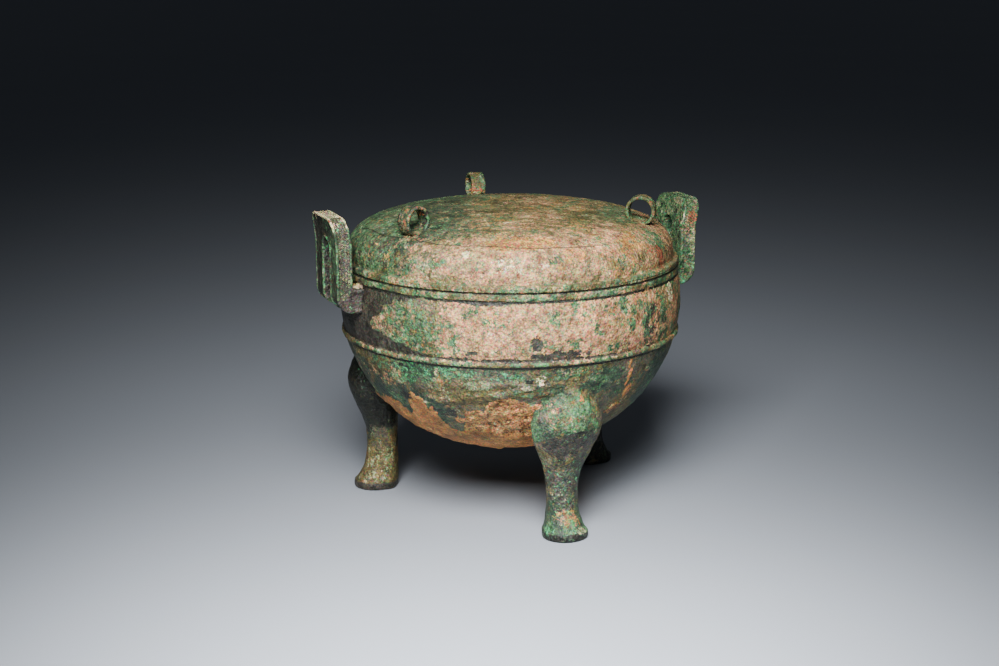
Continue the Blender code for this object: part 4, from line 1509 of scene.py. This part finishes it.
@dataclass(frozen=True)
class Ears:
    """Both ears, cast on to the wall."""

    pair: tuple[Ear, ...]
    patina: Patina
    bowl: Bowl

    def build(self, material: Material) -> Object:
        """The two straps in one mesh."""
        points, faces, bands = [], [], []
        for ear in self.pair:
            solid, loops, band = ear.solid()
            shift = sum(len(part) for part in points)
            points.append(solid)
            faces += [tuple(corner + shift for corner in face) for face in loops]
            bands.append(band)
        places = np.concatenate(points)
        mesh = make_mesh("vessel_ears", places, faces)
        mesh.materials.append(material)
        band = np.concatenate(bands)
        if len(mesh.vertices) != len(band):
            raise ValueError("the ears' points were merged, so their bands no longer match")
        height = 0.10 * fractal(places, 9, 41) + 0.06 * fractal(places, 3, 42)
        height += 0.12 * (band == Band.PLAIN.value) * fractal(places, 2.4, 43)
        share = self.fields(places, band)
        set_points(mesh, places + get_normals(mesh) * height[:, None] * MM)
        return finished("vessel_ears", mesh, share)

    def fields(self, points: Array, band: Array) -> Fields:
        """Share of each layer at each point."""
        noise = noise_fields(points, broad=(16, 51), small=(5, 52))
        small = noise["small"]
        left = points[:, 0] < 0
        near = left & (points[:, 1] < -0.001)
        border, rim, face, plain = (band == kind.value for kind in Band)
        raised = border | rim

        def by_band(on_border: object, on_face: object, on_rim: object, on_plain: object) -> Array:
            """One value for each point, picked by its band."""
            return np.select([border, face, rim], [on_border, on_face, on_rim], on_plain)

        def by_side(on_left: float, on_right: float) -> Array:
            """One value for each point, picked by its ear."""
            return np.where(left, on_left, on_right)

        share = grown(EAR_GROWTHS, {"raised": raised, "left": left, "right": ~left}, noise)
        green = by_band(0.62, 0.12 + 0.20 * near, by_side(0.20, 0.55), by_side(0.22, 0.68))
        share["verdigris"] = np.clip(green + 0.25 * noise["broad"], 0, 1)
        share["crust"] = np.clip(by_band(0.14, 0.0, 0.06, by_side(0.03, 0.30)) + 0.16 * small, 0, 1)
        share["emerald"] = np.clip(0.10 * border + 0.06 * plain + 0.15 * small, 0, 0.4)
        share["olive"] = 0.6 * near * face
        dark = by_band(0.12, 0.90 - 0.60 * near, by_side(0.72, 0.12), by_side(0.80, 0.15))
        share["slate"] = np.clip(dark + 0.2 * small, 0, 1)
        share["black"] = 0.45 * face * ~near + 0.35 * plain * left
        # The left ear is bare and dark at its root.
        root = left * step_up(np.hypot(points[:, 0], points[:, 1]), 0.1075, 0.1045)
        thin_out(share, root, EAR_ROOT_KEPT)
        share["slate"] = np.maximum(share["slate"], 0.9 * root)
        # Pale crust lies on the tops.
        high = high_on_ear(points)
        share["crust"] = np.maximum(share["crust"], high * np.where(raised, 0.85, 0.10) * by_side(1.0, 0.4))
        share["cream"] = np.maximum(share["cream"], high * left * np.where(raised, 0.80, 0.0))
        self.patina.place(share, points, self.bowl)
        return {name: np.clip(values, 0, 1) for name, values in share.items()}


def high_on_ear(points: Array) -> Array:
    """1 at the ears' tops and 0 on their lower parts."""
    return step_up(points[:, 2], 0.168, 0.176)


@dataclass(frozen=True)
class Interlace:
    """Fine curls in low relief along the band round each ear."""

    pitch: float = 1.62 * MM
    curl_r: float = 0.78 * MM
    turns: float = 1.3
    stroke: float = 0.15 * MM
    rows: tuple[float, ...] = (-2.45 * MM, -0.82 * MM, 0.82 * MM, 2.45 * MM)
    # How much wider each row's pitch is than the last, how a curl starts, and how far it is drawn up
    drift: float = 0.04
    core: float = 0.16
    raised: float = 1.15
    seed: int = 4

    def tree(self) -> NodeTree:
        """The tree, which lays curls on both sides of the polyline that it is given."""
        sizes = dict.fromkeys(("Pitch", "Curl Radius", "Stroke"), "Float")
        sockets = {"Path": "Geometry"} | sizes | {"Seed": "Int"}
        graph, (path, pitch, radius, stroke, seed, material) = open_tree("interlace", sockets, "Curls")
        spiral = graph.add(
            "GeometryNodeCurveSpiral",
            inputs={
                "Resolution": 7,
                "Rotations": self.turns,
                "Start Radius": radius * self.core,
                "End Radius": radius,
                "Height": 0.0,
            },
        )
        line = graph.add("GeometryNodeCurvePrimitiveCircle", inputs={"Resolution": 3, "Radius": stroke})
        section = {"Curve": spiral, "Profile Curve": line, "Fill Caps": True}
        curl = graph.add("GeometryNodeCurveToMesh", inputs=section)
        curve = graph.add("GeometryNodeMeshToCurve", inputs={"Mesh": path})
        out, over = (
            graph.add("GeometryNodeInputNamedAttribute", {"data_type": "FLOAT_VECTOR"}, {"Name": name})
            for name in ("out", "over")
        )
        pieces = []
        for row, offset in enumerate(self.rows):
            spacing = {"Curve": curve, "Length": pitch * (1 + self.drift * row)}
            spaced = graph.add("GeometryNodeResampleCurve", {"mode": "LENGTH"}, spacing)
            shift = graph.add("ShaderNodeVectorMath", {"operation": "SCALE"}, {0: over, "Scale": offset})
            moved = graph.add("GeometryNodeSetPosition", inputs={"Geometry": spaced, "Offset": shift})
            facing = self.facing(graph, out, over, self.spin(graph, seed, row))
            put = {"Points": moved, "Instance": curl, "Rotation": facing, "Scale": (1.0, 1.0, self.raised)}
            pieces.append(graph.add("GeometryNodeInstanceOnPoints", inputs=put))
        joined = graph.add("GeometryNodeJoinGeometry", inputs={"Geometry": pieces[0]})
        for piece in pieces[1:]:
            graph.tree.links.new(piece.socket, joined.socket.node.inputs["Geometry"])
        return close_tree(graph, joined, material, "Curls")

    def spin(self, graph: Graph, seed: Value, row: int) -> Value:
        """Each curl's turn about its own axis: every second one half a turn more, give or take a little."""
        index = graph.add("GeometryNodeInputIndex")
        spread = {2: -0.5, 3: 0.5, "Seed": seed}
        jitter = graph.add("FunctionNodeRandomValue", {"data_type": "FLOAT"}, spread, output=1)
        return graph.maths("MODULO", index + row, 2.0) * math.pi + jitter

    def facing(self, graph: Graph, out: Value, over: Value, spin: Value) -> Value:
        """A curl's rotation: upright on the band, in line with it, then turned about its own axis."""
        align = "FunctionNodeAlignRotationToVector"
        upright = graph.add(align, {"axis": "Z"}, {"Vector": out})
        lined_up = graph.add(align, {"axis": "X", "pivot_axis": "Z"}, {"Rotation": upright, "Vector": over})
        own = graph.add("ShaderNodeCombineXYZ", inputs={"Z": spin})
        own_turn = graph.add("FunctionNodeEulerToRotation", inputs={"Euler": own})
        turn = {"Rotation": lined_up, "Rotate By": own_turn}
        return graph.add("FunctionNodeRotateRotation", {"rotation_space": "LOCAL"}, turn)

    def build(self, ears: Ears, material: Material) -> Object:
        """Curls on both ears, in one mesh."""
        paths = [ear.path() for ear in ears.pair]
        edges = []
        shift = 0
        for middle, _, _ in paths:
            edges += list(itertools.pairwise(range(shift, shift + len(middle))))
            shift += len(middle)
        middle, out, over = (np.concatenate(parts) for parts in zip(*paths))
        line = bpy.data.meshes.new("ear_interlace")
        line.from_pydata(middle.tolist(), edges, [])
        for name, vectors in (("out", out), ("over", over)):
            attribute = line.attributes.new(name, "FLOAT_VECTOR", "POINT")
            attribute.data.foreach_set("vector", vectors.astype(np.float32).ravel())
        inputs = {"Pitch": self.pitch, "Curl Radius": self.curl_r, "Stroke": self.stroke, "Seed": self.seed}
        mesh = run_tree(line, self.tree(), material, inputs)
        places = get_points(mesh)
        noise = noise_fields(places, small=(5, 61)) | {"high": high_on_ear(places)}
        left = places[:, 0] <= 0
        return finished("ear_interlace", mesh, grown(CURL_GROWTHS, {"left": left, "right": ~left}, noise))


# Lid


LID_PATCHES = patches(
    ("verdigris", -168, 170.0, 24, 14, 0.45, 74.0),
    ("olive", -160, 172.0, 34, 20, 0.95, 70.0),
    ("teal", -162, 174.0, 26, 12, 0.60, 66.0),
    ("verdigris", 165, 170.0, 30, 22, 0.60, 78.0),
    ("verdigris", 120, 172.0, 45, 26, 0.75, 70.0),
    ("teal", -165, 162.0, 20, 12, 0.95, 92.0),
    ("slate", -168, 161.0, 20, 11, 0.34, 92.0),
    ("slate", -149, 157.0, 7, 4.0, 0.30, 94.0),
    ("slate", -117, 157.5, 12, 5.0, 0.10, 94.5),
    ("ochre", -88, 163.0, 12, 5.0, 0.50, 91.0),
    ("verdigris", -97, 161.0, 6, 3.0, 0.45, 92.0),
    ("verdigris", -137.4, 157.6, 7, 3.6, 0.72, 94.0),
    ("emerald", -137.4, 157.6, 5, 2.6, 0.30, 94.0),
    ("verdigris", -146, 156.0, 12, 6, 0.55, 94.0),
    ("olive", -150, 160.0, 14, 8, 0.70, 93.0),
    ("ochre", -158, 158.5, 4, 4.0, 0.55, 94.0),
    ("teal", -150, 158.0, 10, 6, 0.60, 94.0),
    ("verdigris", -131, 168.0, 2.0, 2.0, 0.9, 83.0),
    ("verdigris", -125, 168.0, 2.0, 2.0, 0.9, 83.0),
    ("cream", -126.7, 163.5, 3.0, 3.6, 0.75, 89.7),
    ("cream", -113, 175.6, 2.4, 2.4, 0.55, 52.0),
    ("ochre", -109, 169.0, 24, 7.0, 0.90, 81.0),
    ("verdigris", -118, 158.0, 9, 4.5, 0.34, 94.0),
    ("ochre", -98, 156.0, 9, 5.0, 0.34, 94.0),
    ("rust", -110, 168.5, 19, 4.5, 0.34, 82.0),
    ("rose", -107, 157.5, 32, 8.5, 0.92, 94.5),
    ("ochre", -70, 160.0, 16, 8.0, 0.42, 93.0),
    ("cream", -108, 158.5, 18, 5.0, 0.24, 94.5),
    ("ochre", -62, 166.0, 12, 9.0, 0.70, 88.0),
    ("rust", -49, 153.5, 8, 6.5, 0.80, 95.5),
    ("rust", -54, 158.5, 6, 5.0, 0.45, 94.0),
    ("verdigris", -44, 163.0, 7, 9.0, 0.80, 91.0),
    ("teal", -40, 160.0, 8, 9.0, 0.80, 93.0),
    ("ochre", -25, 176.5, 26, 4.0, 0.5, 40.0),
    ("verdigris", -30, 175.0, 26, 14.0, 0.62, 62.0),
)


LID_GROWTHS = (
    Growth(
        "rose", "all", 0.02, {"front": 0.80, "front_top": -0.34, "broad": 0.36, "small": 0.20}, 0.02, 0.96
    ),
    Growth("ochre", "all", 0.10, {"front_top": 0.20, "other": 0.34}, 0.02, 0.6),
    Growth(
        "verdigris",
        "all",
        0.40,
        {"front": -0.28, "front_top": 0.14, "other": 0.30, "small": 0.15},
        0.05,
        0.85,
    ),
    Growth("olive", "all", 0.45, {"top": 0.4}),
    Growth("teal", "all", 0.80, {"front": -0.75, "broad": 0.5}, 0.0, 0.95),
    Growth("crust", "all", 0.04, {"small": 0.3}, 0.0, 0.4),
    Growth("cream", "all", 0.02),
    Growth("cream", "front", 0.0, {"small_peaks": 0.05}),
    Growth("rust", "all", 0.03, {"broad_peaks": 0.06}),
    Growth("emerald", "all", 0.01),
    Growth("emerald", "behind", 0.0, {"small_peaks": 0.06}),
)
# Levels on the lid's edge band, and on the side that can't be seen
BAND_LEVELS = {"crust": 0.16, "verdigris": 0.42, "ochre": 0.22, "rose": 0.34, "olive": 0.9}
LID_UNSEEN = {"olive": 0.5, "teal": 0.4, "verdigris": 0.45, "crust": 0.10}


@dataclass(frozen=True)
class Lid:
    """The domed lid, a turned shell whose band rests on the rim."""

    patina: Patina
    bowl: Bowl
    rest_gap: float = 0.0003
    band_r: float = 0.0990
    band_h: float = 0.0038
    dome_r: float = 0.0960
    dome_h: float = 0.0284
    powers: tuple[float, float] = (3.02, 2.87)
    wall: float = 0.0024
    edge: float = 0.0008
    # Crack round the shoulder of the dome: azimuth and height
    crack: tuple[tuple[float, float], ...] = (
        (-199, 167.6), (-190, 166.0), (-180, 167.4), (-167, 166.9), (-152, 168.3), (-140, 167.2),
        (-119, 167.8), (-100, 166.8), (-76, 166.2),
    )

    @property
    def low(self) -> float:
        """Height of the band's underside."""
        return self.bowl.mouth_z + self.rest_gap

    @property
    def dome_z(self) -> float:
        """Height of the dome's foot."""
        return self.low + self.band_h

    def outline(self) -> Outline:
        """Outline from the crown down the outside and up the inside."""
        curve = power_curve(self.dome_r, self.dome_h, self.powers)
        dome = resample([(r, self.dome_z + rise) for r, rise in curve[::-1]], 1.3 * MM)
        edge = self.edge
        band = arc((self.band_r - edge, self.dome_z - edge), edge, 90, 0, 4)
        band += [(self.band_r, self.low + self.band_h / 2)]
        band += arc((self.band_r - edge, self.low + edge), edge, 0, -90, 3)
        bore = self.dome_r - self.wall
        under = [(bore + 0.0005, self.low), (bore, self.low + 0.0005)]
        inner = power_curve(bore, self.dome_h - self.wall, self.powers)
        return dome + band + under + resample([(r, self.dome_z + rise) for r, rise in inner], 4.5 * MM)

    def on_outside(self, points: Array) -> Array:
        """1 on the outside of the lid and 0 under it."""
        reach = np.hypot(points[:, 0], points[:, 1])
        rise = np.clip(points[:, 2] - self.dome_z, 0, self.dome_h - 1e-6)
        outer = self.dome_r * (1 - (rise / self.dome_h) ** self.powers[1]) ** (1 / self.powers[0])
        level = self.dome_z + self.dome_h * (1 - np.clip(reach / self.dome_r, 0, 1) ** self.powers[0]) ** (
            1 / self.powers[1]
        )
        within = (reach < outer - 1.0 * MM) & (points[:, 2] < level - 1.0 * MM)
        return 1.0 - within.astype(float)

    def fields(self, points: Array, outside: Array) -> Fields:
        """Share of each layer at each point."""
        noise = noise_fields(points, broad=(36, 101), other=(18, 102), small=(6, 103))
        # Across and towards the viewer, as the photograph shows the lid
        aside, ahead = (points[:, :2] @ np.array(((0.931, -0.364), (-0.364, -0.931)))).T
        reach = np.hypot(points[:, 0], points[:, 1])
        aside = aside - 0.030 * step_up(reach, 0.095, 0.070) * (aside < 0)
        front = step_up(aside, -0.071, -0.032) * step_up(ahead, -0.085, -0.02)
        band = step_up(points[:, 2], self.dome_z + 0.0004, self.dome_z - 0.0002)
        top = step_up(reach, 0.084, 0.066)
        noise |= {"front": front, "top": top, "front_top": front * top}
        share = grown(LID_GROWTHS, {"front": front, "behind": 1 - front}, noise)
        share["rose"] *= 1 - 0.35 * step_up(aside, 0.045, 0.080)
        share["streak"] = np.clip(0.25 + 0.9 * top, 0, 1) * outside
        edge_over(share, band, BAND_LEVELS, 0.3 * noise["small"])
        self.patina.place(share, points, self.bowl)
        return lined(share, outside, LID_UNSEEN, noise["broad"])

    def relief(self, points: Array, share: Fields, outside: Array) -> Array:
        """How far each point moves along its normal."""
        z = points[:, 2]
        height = 0.16 * fractal(points, 24, 107) + 0.09 * fractal(points, 8, 108)
        height += (0.05 + 0.10 * share["crust"] + 0.10 * share["ochre"]) * fractal(points, 3, 109)
        height *= np.where(outside > 0.5, 1.0, 0.4)
        height *= step_up(z, self.low + 0.0001, self.low + 0.0014) * 0.7 + 0.3 * outside
        height *= step_up(z, self.low - 0.0001, self.low + 0.0006)
        return height * MM

    def build(self, material: Material) -> Object:
        """The finished shell."""
        mesh = Turning().make("lid_shell", self.outline(), material)
        points = get_points(mesh)
        outside = self.on_outside(points)
        share = self.fields(points, outside)
        set_points(mesh, points + get_normals(mesh) * self.relief(points, share, outside)[:, None])
        share["crack"] = self.crack_distance(points)
        return finished("lid_shell", mesh, share)

    def crack_distance(self, points: Array) -> Array:
        """Height above the crack in metres, and far from it where there is none."""
        azimuth = azimuths(points)
        azimuth = np.where(azimuth > 0, azimuth - 360, azimuth)
        table = np.array(self.crack)
        line = np.interp(azimuth, table[:, 0], table[:, 1]) * MM + 0.35 * MM * lattice(points, 4, 111)
        off = np.maximum(table[0, 0] - azimuth, azimuth - table[-1, 0])
        return points[:, 2] - line + 0.02 * step_up(off, 0.0, 3.0)


RING_GROWTHS = (
    Growth("olive", "all", 0.75, {"broad": 0.3}),
    Growth("teal", "all", 0.0, {"left": 0.85, "broad": 0.3}),
    Growth("ochre", "all", 0.12, {"small": 0.3}, 0.0, 0.5),
    Growth("verdigris", "all", 0.38, {"broad": 0.5}, 0.0, 0.9),
    Growth("crust", "all", 0.16, {"left": -0.10, "small": 0.4}, 0.0, 0.7),
    Growth("cream", "all", 0.02),
    Growth("rose", "right", 0.12, {"small": 0.3}, 0.0, 0.5),
    Growth("rust", "all", 0.04, {"left": 0.08, "small": 0.3}, 0.0, 0.3),
    Growth("slate", "all", 0.0, {"left": 0.45, "broad": 0.5}, 0.0, 0.8),
)


@dataclass(frozen=True)
class Rings:
    """Three short flat bands that stand on the lid, their axes level."""

    azimuths: tuple[float, ...] = (-34.95, 85.05, 205.05)
    place_r: float = 0.0777
    rise: float = 0.0065
    radius: float = 0.0086
    thick: float = 0.0019
    width: float = 0.0088
    edge: float = 0.0005
    around: int = 96
    section: int = 30

    def tree(self) -> NodeTree:
        """The tree, which sets a ring at each point that it is given."""
        sizes = dict.fromkeys(("Radius", "Thickness", "Width", "Edge"), "Float")
        sockets = {"Places": "Geometry"} | sizes
        graph, (places, radius, thick, width, edge, material) = open_tree("lid_rings", sockets, "Rings")
        middle = {"Resolution": self.around, "Radius": radius - thick / 2}
        circle = graph.add("GeometryNodeCurvePrimitiveCircle", inputs=middle)
        flat = graph.add("GeometryNodeCurvePrimitiveQuadrilateral", inputs={"Width": thick, "Height": width})
        fillet = {"Curve": flat, "Count": 3, "Radius": edge}
        eased = graph.add("GeometryNodeFilletCurve", {"mode": "POLY"}, fillet)
        even = {"Curve": eased, "Count": self.section}
        section = graph.add("GeometryNodeResampleCurve", {"mode": "COUNT"}, even)
        band = graph.add("GeometryNodeCurveToMesh", inputs={"Curve": circle, "Profile Curve": section})
        upright = {"Geometry": band, "Rotation": (math.pi / 2, 0.0, 0.0)}
        stood = graph.add("GeometryNodeTransform", inputs=upright)
        angle = graph.add("GeometryNodeInputNamedAttribute", {"data_type": "FLOAT"}, {"Name": "azimuth"})
        own = graph.add("ShaderNodeCombineXYZ", inputs={"Z": angle})
        turn = graph.add("FunctionNodeEulerToRotation", inputs={"Euler": own})
        put = {"Points": places, "Instance": stood, "Rotation": turn}
        return close_tree(graph, graph.add("GeometryNodeInstanceOnPoints", inputs=put), material, "Rings")

    def build(self, lid: Lid, material: Material) -> Object:
        """The three rings in one mesh."""
        level = (1 - (self.place_r / lid.dome_r) ** lid.powers[0]) ** (1 / lid.powers[1])
        z = lid.dome_z + lid.dome_h * level + self.rise
        turns = [math.radians(azimuth) for azimuth in self.azimuths]
        spots = bpy.data.meshes.new("lid_rings")
        places = [(self.place_r * math.cos(turn), self.place_r * math.sin(turn), z) for turn in turns]
        spots.from_pydata(places, [], [])
        set_fields(spots, {"azimuth": np.array(turns)})
        inputs = {"Radius": self.radius, "Thickness": self.thick, "Width": self.width, "Edge": self.edge}
        mesh = run_tree(spots, self.tree(), material, inputs)
        points = get_points(mesh)
        noise = noise_fields(points, broad=(12, 122), small=(4, 121))
        height = 0.10 * noise["broad"] + 0.06 * noise["small"]
        set_points(mesh, points + get_normals(mesh) * height[:, None] * MM)
        left = step_up(points[:, 0], -0.05, -0.06)
        share = grown(RING_GROWTHS, {"right": 1 - 0.8 * left}, noise | {"left": left})
        # No crack runs over the rings.
        share["crack"] = np.full(len(points), 1.0)
        return finished("lid_rings", mesh, share)


# Studio


@dataclass(frozen=True)
class Studio:
    """Camera, lights and floor."""

    turn: float = -21.35
    camera_place: tuple[float, float, float] = (0.0, -0.9914, 0.3369)
    yaw: float = -0.0063
    pitch: float = -0.2351
    focal_px: float = 1703.6
    image_w: float = 999.0
    sensor: float = 36.0
    floor_half: float = 40.0
    floor_tones: tuple[Colour, Colour] = ((0.265, 0.288, 0.325), (0.285, 0.308, 0.345))
    sky: tuple[float, float, float, float] = (0.78, 0.84, 0.95, 1.0)
    sky_strength: float = 0.042

    def camera(self) -> None:
        """The photograph's camera."""
        turn = Matrix.Rotation(math.radians(self.turn), 3, "Z")
        level = math.cos(self.pitch)
        ahead = Vector((math.sin(self.yaw) * level, math.cos(self.yaw) * level, math.sin(self.pitch)))
        data = bpy.data.cameras.new("camera")
        data.sensor_width = self.sensor
        data.lens = self.focal_px / self.image_w * self.sensor
        data.clip_start = 0.01
        made = bpy.data.objects.new("camera", data)
        made.location = turn @ Vector(self.camera_place)
        made.rotation_euler = (turn @ ahead).to_track_quat("-Z", "Y").to_euler()
        bpy.context.scene.collection.objects.link(made)
        bpy.context.scene.camera = made

    def lamp(
        self,
        name: str,
        way: tuple[float, float, float],
        size: float,
        watts: float,
        spread: float = 180.0,
        aim: tuple[float, float, float] = (0.0, 0.0, 0.09),
    ) -> None:
        """Adds a soft square light.

        Args:
            name: the light's name.
            way: azimuth and elevation, in degrees, and distance, from the point that it faces.
            size: its side, in metres.
            watts: its power.
            spread: the angle that it shines into, in degrees.
            aim: the point that it faces.
        """
        turn, rise, far = math.radians(way[0]), math.radians(way[1]), way[2]
        back = Vector((math.cos(turn) * math.cos(rise), math.sin(turn) * math.cos(rise), math.sin(rise)))
        data = bpy.data.lights.new(name, "AREA")
        data.shape = "SQUARE"
        data.size = size
        data.energy = watts
        data.spread = math.radians(spread)
        made = bpy.data.objects.new(name, data)
        made.location = Vector(aim) + back * far
        made.rotation_euler = (-back).to_track_quat("-Z", "Y").to_euler()
        bpy.context.scene.collection.objects.link(made)

    def floor(self) -> None:
        """A plain pale floor that runs out of view."""
        mesh = bpy.data.meshes.new("floor")
        far = self.floor_half
        mesh.from_pydata([(-far, -far, 0), (far, -far, 0), (far, far, 0), (-far, far, 0)], [], [(0, 1, 2, 3)])
        material = bpy.data.materials.new("pale_floor")
        material.use_nodes = True
        graph = Graph(material.node_tree)
        coords = graph.add("ShaderNodeTexCoord", output="Object")
        noise = graph.add("ShaderNodeTexNoise", inputs={"Vector": coords, "Scale": 3.0, "Detail": 2.0})
        tone = graph.mixed(noise, *self.floor_tones)
        finish = {"Base Color": tone, "Roughness": 0.85, "Specular IOR Level": 0.25}
        shader = graph.add("ShaderNodeBsdfPrincipled", inputs=finish)
        graph.add("ShaderNodeOutputMaterial", inputs={"Surface": shader})
        mesh.materials.append(material)
        make_object("floor", mesh)

    def world(self) -> None:
        """Even light from all round."""
        world = bpy.data.worlds.new("room")
        world.use_nodes = True
        graph = Graph(world.node_tree)
        even = {"Color": self.sky, "Strength": self.sky_strength}
        back = graph.add("ShaderNodeBackground", inputs=even)
        graph.add("ShaderNodeOutputWorld", inputs={"Surface": back})
        bpy.context.scene.world = world

    def build(self) -> None:
        """Everything round the object."""
        self.camera()
        self.lamp("key", (-116, 39, 0.78), 0.33, 2.12, 67.0)
        self.lamp("front_floor", (-111.35, 80, 0.50), 0.30, 3.6, 72.0, (-0.135, -0.345, 0.0))
        self.lamp("back", (75, 60, 1.2), 0.5, 0.3)
        self.floor()
        self.world()


def ride_and_report(piece: Object, node: str) -> None:
    """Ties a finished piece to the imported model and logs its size."""
    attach(piece, "root")
    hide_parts(node)
    triangles = sum(len(face.vertices) - 2 for face in piece.data.polygons)
    LOG.info("%s: %d triangles, stands for %s", piece.name, triangles, node)


def main() -> None:
    """Builds the vessel, the lid and the studio, in that order."""
    logging.basicConfig(level=logging.INFO, format="%(name)s %(message)s")
    bowl = Bowl()
    wall_patina = Patina("vessel_patina", (0.075, 0.078, 0.060), (0.14, 0.135, 0.10), VESSEL_PATCHES, SHORES)
    ear_patina = Patina("ear_patina", (0.085, 0.088, 0.070), (0.15, 0.145, 0.115), EAR_PATCHES)
    lid_patina = Patina(
        "lid_patina", (0.16, 0.14, 0.085), (0.30, 0.26, 0.16), LID_PATCHES, on_lid=True, hue_swing=0.95
    )
    body_material = wall_patina.material()
    ear_material = ear_patina.material()
    lid_material = lid_patina.material()

    body = Vessel(bowl, Leg(), wall_patina).build(body_material)
    ride_and_report(body, "vessel")
    right = Ear(Side.RIGHT, inset=0.0017, sag=0.0013, lift=0.0015, lean_more=0.0008)
    ears = Ears((Ear(Side.LEFT), right), ear_patina, bowl)
    ride_and_report(ears.build(ear_material), "vessel")
    ride_and_report(Interlace().build(ears, ear_material), "vessel")
    lid = Lid(lid_patina, bowl)
    ride_and_report(lid.build(lid_material), "lid")
    ride_and_report(Rings().build(lid, lid_material), "lid")
    Studio().build()


if __name__ == "__main__":
    main()
